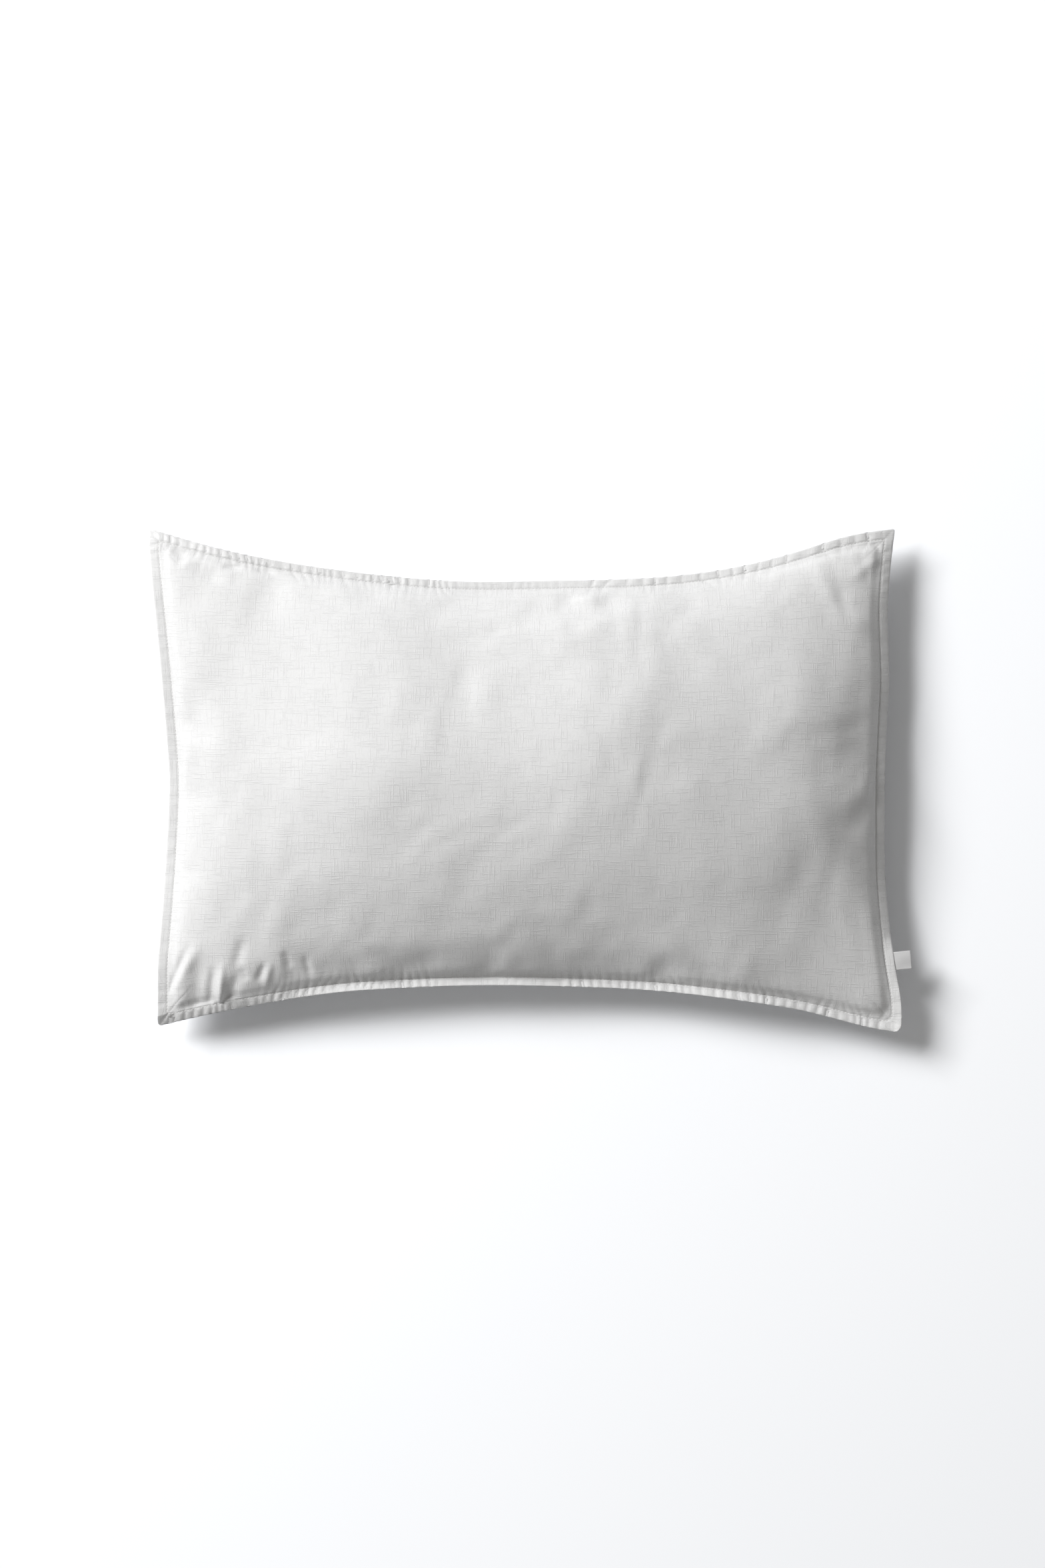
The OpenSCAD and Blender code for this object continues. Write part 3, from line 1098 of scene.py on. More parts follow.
@dataclass(frozen=True)
class FibreFinish:
    """Loose white filling fibre, whose tone varies at random and whose low parts are painted darker as shade.
    """

    name: str = "filling_fibre"
    light: tuple[float, float, float] = (0.86, 0.86, 0.85)
    dark: tuple[float, float, float] = (0.60, 0.60, 0.59)

    def material(self) -> bpy.types.Material:
        """Builds the material.

        Returns:
            The material.
        """
        material, n, place = new_material(self.name)
        tufts = n.noise(place, (55.0, 55.0, 55.0), 4.0)
        bent = n.add(
            "ShaderNodeVectorMath", {0: place, 1: (0.02, 0.02, 0.02), 2: tufts}, operation="MULTIPLY_ADD"
        ).outputs[0]
        strands = n.noise(bent, (2600.0, 300.0, 700.0), 3.0)
        # The tone varies at random over tufts and strands; the bump follows it, so the darker parts lie
        # lower: painted shade in the hollows.
        tone = n.ramp(
            n.math("ADD", n.math("MULTIPLY", tufts, 0.6), n.math("MULTIPLY", strands, 0.5)), 0.3, 0.8
        )
        rough = n.math("ADD", 0.85, n.math("MULTIPLY", strands, 0.12))
        height = n.math("MULTIPLY", tone, 0.0006)
        n.dress(tone, (self.dark, self.light), rough, height, {"Sheen Weight": 0.5})
        return material


# Pale grey satin, with its colour also set darker to paint in the shade that the label lies in beside the
# pillow.
RIBBON_SATIN = WovenFinish(
    "label_satin", (0.60, 0.60, 0.60), (0.50, 0.50, 0.505), 0.00028,
    stretch=(0.25, 1.0), roughness=0.42, depth=0.00001, specular=0.5, sheen=0.0, unevenness=0.2,
)
CARE_RIBBON = WovenFinish(
    "care_ribbon", (0.82, 0.82, 0.81), (0.70, 0.70, 0.70), 0.0003, roughness=0.5, depth=0.00001
)
TICKING = WovenFinish(
    "ticking_twill", (0.80, 0.79, 0.76), (0.62, 0.61, 0.58), 0.0004, diagonal=0.8, roughness=0.8
)
PIPING = WovenFinish("piping_cotton", (0.82, 0.81, 0.78), (0.66, 0.65, 0.62), 0.00035, roughness=0.8)
CORD_COTTON = WovenFinish(
    "cord_cotton", (0.78, 0.76, 0.71), (0.52, 0.50, 0.46), 0.0005, stretch=(0.3, 1.0), roughness=0.9
)


# ---------------------------------------------------------------- the linen case


FLANGE_ROWS = (
    (6.0, 1.28),
    (1.4, 1.28),
    (0.3, 1.12),
    (0.0, 0.72),
    (0.18, 0.28),
    (0.8, 0.03),
    (2.2, 0.0),
    (3.8, 0.0),
    (5.4, 0.0),
    (6.9, 0.0),
    (8.1, 0.0),
    (8.8, 0.0),
    (9.2, 0.0),
    (9.6, 0.0),
)


HEM_ROWS = (
    (12.0, 1.0),
    (6.0, 1.0),
    (0.5, 0.95),
    (-0.1, 0.55),
    (0.15, 0.15),
    (1.2, 0.0),
    (4.0, 0.0),
)


@dataclass
class Case:
    """The linen case: front panel, back panel, underlap and the seams that join them."""

    form: CaseForm
    inflation: Inflation
    rim: float = 0.00135
    stitch_inset: float = 9.2
    along_step: float = 1.6
    across_step: float = 3.3
    fine_step: float = 0.45
    crumple: float = 0.8
    hem_place: float = -0.70
    flap_place: float = -0.35
    hem_depth: float = 11.0
    flap_lift: float = 1.4
    body_relief: float = 1.3
    edge_lift: dict = field(
        default_factory=lambda: {
            "top": EdgeShift((-1, -0.88, -0.8, 0.85, 1), (-5.5, -3.5, -2.0, -2.0, -1.0)),
            "bottom": EdgeShift((-1, -0.78, -0.66, -0.5, 1), (-6.5, -6.0, -1.5, 2.6, 2.6)),
            "left": EdgeShift((-1, -0.7, 0.8, 1), (0.6, -0.8, -0.8, -3.5)),
            "right": EdgeShift((-1, -0.9, -0.8, -0.62, 0.88, 1), (2.6, 2.4, 0.5, -5.5, -6.0, -1.0)),
        }
    )
    gathers: dict = field(
        default_factory=lambda: {
            "top": Gathers(
                21, ((-352, -70, 0.95, 8.6, 1.3), (60, 350, 0.8, 15.0, 1.5), (-70, 60, 0.2, 9.0, 1.5))
            ),
            "bottom": Gathers(
                22, ((-352, -90, 0.9, 9.0, 1.4), (25, 362, 0.85, 9.5, 1.5), (-90, 25, 0.2, 9.0, 1.5))
            ),
            "left": Gathers(23, ((-240, 240, 0.3, 14.0, 2.5),)),
            "right": Gathers(24, ((-240, 240, 0.3, 13.0, 2.2),)),
        }
    )
    front_folds: tuple[Fold, ...] = (
        Fold((-297, -217), (-294, -186), 3.6, 3.2),
        Fold((-307, -213), (-303, -186), 4.5, -3.0),
        Fold((-291, -218), (-279, -188), 6.0, -2.8),
        Fold((-281, -180), (-274, -157), 5.5, -2.0),
        Fold((-275, -182), (-271, -191), 4.0, -1.4),
        Fold((-320, -219), (-316, -182), 8.0, -2.4),
        Fold((-348, -204), (-331, -170), 3.2, -1.8),
        Fold((-341, -204), (-321, -168), 5.0, 2.6),
        Fold((-338, -216), (-327, -192), 6.0, 1.8),
        Fold((-259, -191), (-254, -179), 3.5, -1.8),
        Fold((-252, -195), (-247, -178), 3.6, 1.8),
        Fold((-233, -167), (-229, -178), 4.0, -1.8),
        Fold((-238, -190), (-236, -172), 6.0, 1.0),
        Fold((-213, -172), (-210, -187), 3.6, -1.5),
        Fold((-342, 222), (-333, 213), 6.5, -2.2),
        Fold((-322, 207), (-300, 198), 8.0, -1.8),
        Fold((-292, 208), (-280, 207), 3.5, -1.8),
        Fold((-260, 205), (-246, 203), 3.5, -1.5),
        Fold((319, 198), (342, 216), 5.5, 1.5),
        Fold((337, 236), (344, 226), 3.5, -1.3),
        Fold((326, 218), (334, 190), 6.0, -0.9),
        Fold((300, 190), (312, 160), 8.0, -1.6),
        Fold((283, 205), (300, 175), 9.0, 1.8),
        Fold((300, 165), (326, 150), 8.0, 1.6),
        Fold((264, 95), (258, -50), 34.0, 4.4),
    )
    front_points: np.ndarray = field(default=None, repr=False)
    back_points: np.ndarray = field(default=None, repr=False)
    back_u: np.ndarray = field(default=None, repr=False)
    flap_points: np.ndarray = field(default=None, repr=False)
    flap_u: np.ndarray = field(default=None, repr=False)

    def lines(self, half: float, step: float, reach: float) -> tuple[np.ndarray, np.ndarray]:
        """Mesh lines over one direction of a panel, with the turned flange at both ends.

        Args:
            half: half of the case in this direction.
            step: spacing in the middle, in millimetres.
            reach: how far from the seam the spacing grows, in millimetres.

        Returns:
            Places from -1 to 1, and how far the cloth has turned down at each, in millimetres.
        """
        rows = np.array(FLANGE_ROWS)
        ends = 1 - rows[:, 0] * MM / half
        inner = 1 - self.form.flange / half
        body = crowded(-inner, inner, step * MM / half, self.fine_step * MM / half, reach * MM / half)
        places = np.concatenate([-ends, body, ends[::-1]])
        drops = np.concatenate([rows[:, 1], np.zeros(len(body)), rows[::-1, 1]])
        return places, drops

    def hem_lines(self) -> tuple[np.ndarray, np.ndarray]:
        """Mesh lines along the back panel, from its folded hem to the flange on the right.

        Returns:
            Places from -1 to 1, and how far the cloth has turned inwards at each, in millimetres.
        """
        places, drops = self.lines(self.form.half_length, 3.2, 20)
        unit = MM / self.form.half_length
        start = self.hem_place
        rows = np.array(HEM_ROWS)
        keep = places > start + 5 * unit
        return (
            np.concatenate([start + rows[:, 0] * unit, places[keep]]),
            np.concatenate([rows[:, 1], drops[keep]]),
        )

    def flap_lines(self) -> tuple[np.ndarray, np.ndarray]:
        """Mesh lines along the underlap, from the flange on the left to its own hem.

        Returns:
            Places from -1 to 1, and how far the cloth has turned inwards at each, in millimetres.
        """
        places, drops = self.lines(self.form.half_length, 3.2, 20)
        unit = MM / self.form.half_length
        rows = np.array(HEM_ROWS)[::-1]
        keep = places < self.flap_place - 5 * unit
        return (
            np.concatenate([places[keep], self.flap_place - rows[:, 0] * unit]),
            np.concatenate([drops[keep], rows[:, 1]]),
        )

    def edge_distances(self, x: np.ndarray, y: np.ndarray, u: np.ndarray, v: np.ndarray) -> dict:
        """Distance of each point from each outer edge, with its place along that edge.

        Args:
            x: X in metres.
            y: Y in metres.
            u: place along the pillow.
            v: place across it.

        Returns:
            For each edge, place along it and distance inwards, in metres.
        """
        long_half, short_half = self.form.half_length, self.form.half_width
        return {
            "top": (x, (1 - v) * short_half),
            "bottom": (x, (1 + v) * short_half),
            "left": (y, (1 + u) * long_half),
            "right": (y, (1 - u) * long_half),
        }

    def pucker_reach(self, away: np.ndarray) -> np.ndarray:
        """Height that puckers reach at a distance from the outer edge.

        Args:
            away: distance from the flange's outer edge in metres.

        Returns:
            Height in metres.
        """
        d = away / MM
        held = 1 - 0.6 * np.exp(-(((d - self.stitch_inset) / 1.2) ** 2))
        flange = 1.05 * smoothstep(-5.0, 4.0, d)
        body = 1 - 0.6 * smoothstep(8.0, 12.0, d)
        return flange * held * body * np.exp(-np.maximum(d - 12, 0) / 9.0) * MM

    def panel_points(self, side: Side, u: np.ndarray, v: np.ndarray, drops: np.ndarray) -> np.ndarray:
        """Points of a panel with its flange, puckers, folds and crumples.

        Args:
            side: which panel.
            u: lines along the pillow.
            v: lines across it.
            drops: how far the cloth has turned down at each pair of lines, in millimetres.

        Returns:
            The points by row and column.
        """
        form = self.form
        uu, vv = np.meshgrid(u, v, indexing="ij")
        sign = side.value
        points = form.skin(side, uu, vv, form.flange, self.rim if side is Side.FRONT else -self.rim)
        level = form.seam_height(uu, vv)
        inner_u, inner_v = 1 - form.flange / form.half_length, 1 - form.flange / form.half_width
        a, b = uu / inner_u, vv / inner_v
        inside = (np.abs(a) <= 1) & (np.abs(b) <= 1)
        dome = form.front if side is Side.FRONT else form.back
        crown = form.crown_z - form.seam_z if side is Side.FRONT else form.seam_z + form.press
        rise = np.where(inside, (crown - self.rim) * dome.share(a, b), 0.0)
        points[..., 2] = level + sign * (self.rim + rise)
        x, y = points[..., 0].copy(), points[..., 1].copy()
        edges = self.edge_distances(x, y, uu, vv)
        nearest = np.minimum.reduce([away for _, away in edges.values()])
        groove = np.exp(-(((nearest / MM - self.stitch_inset) / 0.7) ** 2)) * 0.4 * MM
        tilt = relief_noise(x / 0.075, y / 0.075, 9, 1) * np.clip(1 - nearest / 0.0105, 0, 1) ** 1.3
        for name, (along, away) in edges.items():
            half = form.half_length if name in ("top", "bottom") else form.half_width
            tilt = tilt + self.edge_lift[name].at(along / half) / MM * np.clip(1 - away / 0.0105, 0, 1) ** 1.3
        free = 1 - np.exp(-(((uu - 1) / 0.25) ** 2 + ((vv + 0.72) / 0.08) ** 4))
        points[..., 2] += tilt * free * MM - sign * groove
        normals = grid_normals(points) * sign
        pucker = np.zeros_like(x)
        for name, (along, away) in edges.items():
            pucker += self.gathers[name].at(along, away) * self.pucker_reach(away) * free
        out = pucker + self.relief(side, u, v, points, nearest)
        points = points + normals * out[..., None]
        points[..., 2] -= sign * drops * MM
        return points

    def relief(
        self,
        side: Side,
        u: np.ndarray,
        v: np.ndarray,
        points: np.ndarray,
        nearest: np.ndarray,
    ) -> np.ndarray:
        """Folds, crumples and soft undulations, which the insert shares with the case.

        Args:
            side: which side.
            u: lines along the pillow.
            v: lines across it.
            points: the skin's smooth points by row and column.
            nearest: each point's distance from the nearest outer edge in metres.

        Returns:
            Heights along the normal in metres.
        """
        sign = side.value
        x, y = points[..., 0], points[..., 1]
        inner_u = 1 - self.form.flange / self.form.half_length
        inner_v = 1 - self.form.flange / self.form.half_width
        bend = relief_noise(x / 0.09, y / 0.09, 50 + sign, 1) * 0.02
        soft = relief_noise((x + bend) / 0.055, (y - bend) / 0.075, 40 + sign, 2) * self.body_relief * MM
        out = soft * smoothstep(10.5, 34.0, nearest / MM)
        out += self.crumple * self.inflation.relief(
            side, u / inner_u, v / inner_v
        ) * smoothstep(10.0, 22.0, nearest / MM)
        if side is Side.FRONT:
            out += sum(fold.at(x, y) for fold in self.front_folds) * smoothstep(9.0, 14.0, nearest / MM)
        return out

    def woven(self, points: np.ndarray) -> np.ndarray:
        """Place of each point on the flat cloth, measured along the mesh lines from the middle.

        Args:
            points: the points by row and column.

        Returns:
            Cloth coordinates in metres.
        """
        along = np.linalg.norm(np.diff(points, axis=0), axis=2)
        across = np.linalg.norm(np.diff(points, axis=1), axis=2)
        x = np.concatenate([np.zeros((1, points.shape[1])), np.cumsum(along, axis=0)])
        y = np.concatenate([np.zeros((points.shape[0], 1)), np.cumsum(across, axis=1)], axis=1)
        x = x - x[points.shape[0] // 2]
        y = y - y[:, points.shape[1] // 2, None]
        return np.stack([x, y, np.zeros_like(x)], axis=-1)

    def front_panel(self) -> bpy.types.Object:
        """Builds the front panel.

        Returns:
            The piece.
        """
        u, u_drops = self.lines(self.form.half_length, self.along_step, 20)
        v, v_drops = self.lines(self.form.half_width, self.across_step, 45)
        drops = np.maximum(u_drops[:, None], v_drops[None, :])
        points = self.panel_points(Side.FRONT, u, v, drops)
        self.front_points = points
        piece = mesh_object(
            "linen_front_panel",
            points.reshape(-1, 3),
            grid_faces(len(u), len(v)),
            self.woven(points).reshape(-1, 3),
        )
        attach(piece, PILLOW)
        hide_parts("case_front_panel")
        LOG.info("front panel: %d points", len(u) * len(v))
        return piece

    def back_panel(self) -> bpy.types.Object:
        """Builds the back panel, which stops at a stitched hem over the underlap.

        Returns:
            The piece.
        """
        u, u_drops = self.hem_lines()
        v, v_drops = self.lines(self.form.half_width, 4.0, 45)
        drops = np.maximum(u_drops[:, None], v_drops[None, :])
        points = self.panel_points(Side.BACK, u, v, drops)
        points[..., 2] = eased_above(
            points[..., 2], 0.0, 2 * MM
        ) + u_drops[:, None] * (points[..., 2] < 0) * MM
        self.back_points, self.back_u = points, u
        piece = mesh_object(
            "linen_back_panel",
            points.reshape(-1, 3),
            grid_faces(len(u), len(v), flip=True),
            self.woven(points).reshape(-1, 3),
        )
        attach(piece, PILLOW)
        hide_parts("case_back_panel")
        LOG.info("back panel: %d points", len(u) * len(v))
        return piece

    def underlap(self) -> bpy.types.Object:
        """Builds the underlap, which closes the left of the back and runs on inside the case.

        Returns:
            The piece.
        """
        u, u_drops = self.flap_lines()
        v, v_drops = self.lines(self.form.half_width, 4.0, 45)
        drops = np.maximum(u_drops[:, None], v_drops[None, :])
        points = self.panel_points(Side.BACK, u, v, drops)
        inside = smoothstep(self.hem_place - 0.10, self.hem_place - 0.01, u)[:, None] * self.flap_lift * MM
        points[..., 2] = eased_above(points[..., 2], 0.0, 2 * MM) + inside
        overlap = smoothstep(self.hem_place - 0.02, self.hem_place, u)[:, None]
        near = np.minimum(1 - np.abs(v), 1.0)[None, :] * self.form.half_width
        points[..., 2] += overlap * np.clip(1 - near / 0.002, 0, 1) * 0.4 * MM
        piece = mesh_object(
            "linen_back_underlap",
            points.reshape(-1, 3),
            grid_faces(len(u), len(v), flip=True),
            self.woven(points).reshape(-1, 3),
        )
        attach(piece, PILLOW)
        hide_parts("case_back_flap")
        self.flap_points, self.flap_u = points, u
        LOG.info("underlap: %d points", len(u) * len(v))
        return piece

    def stitch_ring(self, points: np.ndarray) -> tuple[np.ndarray, np.ndarray]:
        """The topstitching line round a panel and the panel's normals on it.

        Args:
            points: a panel's points that reach all four edges.

        Returns:
            The line's points, in order round the panel, and the normals.
        """
        at = [row[0] for row in FLANGE_ROWS].index(self.stitch_inset)
        normals = grid_normals(points)
        last_u, last_v = points.shape[0] - 1 - at, points.shape[1] - 1 - at
        sides = []
        for grid in (points, normals):
            bottom, right = grid[at:last_u, at], grid[last_u, at:last_v]
            top, left = grid[last_u:at:-1, last_v], grid[at, last_v:at:-1]
            sides.append(np.concatenate([bottom, right, top, left]))
        return sides[0], sides[1]

    def topstitching(self) -> list[bpy.types.Object]:
        """Builds both threads of the topstitching, as single stitches on the front and on the back.

        Returns:
            The two pieces.
        """
        pieces = []
        path, normals = self.stitch_ring(self.front_points)
        pieces.append(stitch_piece("topstitching_needle_thread", path, normals, StitchKind.TOP))
        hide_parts("topstitch_needle_thread")
        u, u_drops = self.lines(self.form.half_length, 3.2, 20)
        v, v_drops = self.lines(self.form.half_width, 4.0, 45)
        back = self.panel_points(Side.BACK, u, v, np.maximum(u_drops[:, None], v_drops[None, :]) * 0)
        path, normals = self.stitch_ring(back)
        pieces.append(stitch_piece("topstitching_bobbin_thread", path, -normals, StitchKind.TOP))
        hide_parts("topstitch_bobbin_thread")
        return pieces

    def edge_seam(self) -> bpy.types.Object:
        """Builds the seam that joins the panels inside the flange's edge.

        Returns:
            The piece.
        """
        form = self.form
        path = form.ring(1.6 * MM, 1.5 * MM, 900)
        path[:, 2] = self.flange_level(path)
        up = np.tile([0.0, 0.0, 1.0], (len(path), 1))
        piece = stitch_piece("edge_seam_stitches", path, up, StitchKind.SEAM)
        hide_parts("edge_seam_thread")
        return piece

    def flange_level(self, path: np.ndarray) -> np.ndarray:
        """Height of the flange's middle layer under places in plan.

        Args:
            path: places in plan.

        Returns:
            Z at each place.
        """
        grid = self.front_points
        rows = grid[:, :, :2].reshape(-1, 2)
        tree = KDTree(len(rows))
        for number, (x, y) in enumerate(rows):
            tree.insert((x, y, 0.0), number)
        tree.balance()
        flat = grid.reshape(-1, 3)
        found = [tree.find((x, y, 0.0))[1] for x, y, _ in path]
        return flat[found, 2] - self.rim * 0.9

    def hem_stitching(self) -> list[bpy.types.Object]:
        """Builds the stitches along both hems of the opening, and the bar tacks at its ends.

        Returns:
            The pieces.
        """
        unit = MM / self.form.half_length
        pieces = []
        for name, points, u, place, node in (
            (
                "opening_hem_stitches",
                self.back_points,
                self.back_u,
                self.hem_place + self.hem_depth * unit,
                "opening_hem_thread",
            ),
            (
                "underlap_hem_stitches",
                self.flap_points,
                self.flap_u,
                self.flap_place - self.hem_depth * unit,
                "flap_hem_thread",
            ),
        ):
            row = int(np.argmin(np.abs(u - place) + (np.abs(u - place) > 0.2)))
            inner = slice(len(FLANGE_ROWS) + 3, points.shape[1] - len(FLANGE_ROWS) - 3)
            path = points[row, inner]
            normals = -grid_normals(points)[row, inner]
            piece = stitch_piece(name, path, normals, StitchKind.TOP, closed=False)
            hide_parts(node)
            pieces.append(piece)
        pieces.append(self.bar_tacks())
        return pieces

    def care_label(self, ribbons: "Ribbons") -> bpy.types.Object:
        """Builds the care label that hangs inside the case from its left seam.

        Args:
            ribbons: the maker of ribbons.

        Returns:
            The piece.
        """
        form = self.form
        low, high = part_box("case_care_label")
        unit = MM / form.half_length
        u = -1 + (form.flange / MM + 2.0) * unit + np.linspace(0, 1, 14) * (high.x - low.x) / form.half_length
        v = np.linspace(low.y, high.y, 20) / form.half_width
        grid = self.panel_points(Side.BACK, u, v, np.zeros((len(u), len(v))))
        grid = grid - grid_normals(grid) * -0.7 * MM
        return ribbons.care_label("case_care_ribbon", grid, "case_care_label", "linen_back_underlap")

    def bar_tacks(self) -> bpy.types.Object:
        """Builds the two bar tacks that hold the ends of the opening's hem.

        Returns:
            The piece.
        """
        low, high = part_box("opening_bar_tacks")
        row = int(np.argmin(np.abs(self.back_points[:, 0, 0] - (low.x + high.x) / 2)))
        shapes = []
        for column in (9, self.back_points.shape[1] - 10):
            middle = self.back_points[row, column]
            for k in range(15):
                x = middle[0] + (k - 7) * 0.5 * MM
                lean = 0.12 * MM * (-1) ** k
                start = np.array([x - lean, middle[1] - 0.9 * MM, middle[2] - 0.1 * MM])
                end = np.array([x + lean, middle[1] + 0.9 * MM, middle[2] - 0.1 * MM])
                shapes.append((start, end, np.array([0.0, 0.0, -1.0])))
        piece = capsules("opening_bar_tack_stitches", shapes, 0.28 * MM, 0.25 * MM)
        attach(piece, PILLOW)
        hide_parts("opening_bar_tacks")
        return piece


@dataclass
class Ribbons:
    """The folded label in the side seam and the care labels inside the case and on the insert."""

    form: CaseForm
    thickness: float = 0.0002
    spare: float = 0.0022

    def thick(self, piece: bpy.types.Object) -> None:
        """Gives a ribbon its thickness, centred on its surface."""
        solid = piece.modifiers.new("thickness", "SOLIDIFY")
        solid.thickness, solid.offset = self.thickness, 0.0
        shown = piece.evaluated_get(bpy.context.evaluated_depsgraph_get())
        mesh = bpy.data.meshes.new_from_object(shown)
        piece.modifiers.clear()
        piece.data = mesh

    def side_label(self) -> bpy.types.Object:
        """Builds the folded label: two tails in the seam, and a loop that stands out of it.

        Returns:
            The piece, placed at the seam's hinge.
        """
        joint = frame["joints"][0]
        axis = Vector(joint["axis"]).normalized()
        outward = axis.cross(Vector((0, 0, 1))).normalized()
        hinge = Vector(joint["pos_m"])
        low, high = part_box("side_label")
        root_low, root_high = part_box("side_label_tails")
        width = ((high.y - low.y) + (root_high.y - root_low.y)) / 2
        reach = max((Vector((high.x, hinge.y, hinge.z)) - hinge).dot(outward), 0.010)
        depth = (hinge - Vector((root_low.x, hinge.y, hinge.z))).dot(outward)
        reach += self.spare
        half = (high.z - low.z) / 2 - self.thickness / 2
        out = [(d, half) for d in np.linspace(-depth, reach - half, 30)]
        turn = [
            (reach - half + half * math.sin(t), half * math.cos(t)) for t in np.linspace(0, math.pi, 9)[1:-1]
        ]
        profile = np.array(out + turn + [(d, -z) for d, z in out[::-1]])
        across = np.linspace(-0.49, 0.49, 25) * width
        run = np.concatenate([[0.0], np.cumsum(np.linalg.norm(np.diff(profile, axis=0), axis=1))])
        points, cloth = [], []
        for (d, z), place in zip(profile, run):
            for w in across:
                free = float(smoothstep(-0.001, 0.012, np.array(d)))
                swell = 0.00022 * math.sin(d / reach * math.pi) * free
                wave = 0.00045 * free * math.sin(5.2 * w / width + 0.7) - 0.0007 * free * d / reach
                spot = hinge + outward * d + axis * w + Vector((0, 0, z + math.copysign(swell, z) + wave))
                points.append(tuple(spot))
                cloth.append((w, place, 0.0))
        piece = mesh_object(
            "side_label_ribbon", np.array(points), grid_faces(len(profile), len(across)), np.array(cloth)
        )
        self.thick(piece)
        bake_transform(piece)
        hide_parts("side_label", "side_label_tails")
        LOG.info("side label: %.1f x %.1f mm of ribbon", width / MM, run[-1] / MM)
        return piece

    def care_label(self, name: str, grid: np.ndarray, node: str, on: str) -> bpy.types.Object:
        """Builds a care label that lies along a skin.

        Args:
            name: the piece's name.
            grid: its points by row, away from the seam, and column.
            node: the CAD node that it stands for.
            on: the piece that it lies on; not used.

        Returns:
            The piece.
        """
        along = np.linalg.norm(np.diff(grid, axis=0), axis=2).mean(axis=1)
        across = np.linalg.norm(np.diff(grid, axis=1), axis=2).mean(axis=0)
        x = np.concatenate([[0.0], np.cumsum(across)]) - across.sum() / 2
        y = np.concatenate([[0.0], np.cumsum(along)])
        yy, xx = np.meshgrid(y, x, indexing="ij")
        cloth = np.stack([xx, yy, np.zeros_like(xx)], axis=-1).reshape(-1, 3)
        piece = mesh_object(name, grid.reshape(-1, 3), grid_faces(*grid.shape[:2]), cloth)
        self.thick(piece)
        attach(piece, PILLOW)
        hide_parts(node)
        LOG.info("%s: %.1f x %.1f mm", name, across.sum() / MM, along.sum() / MM)
        return piece


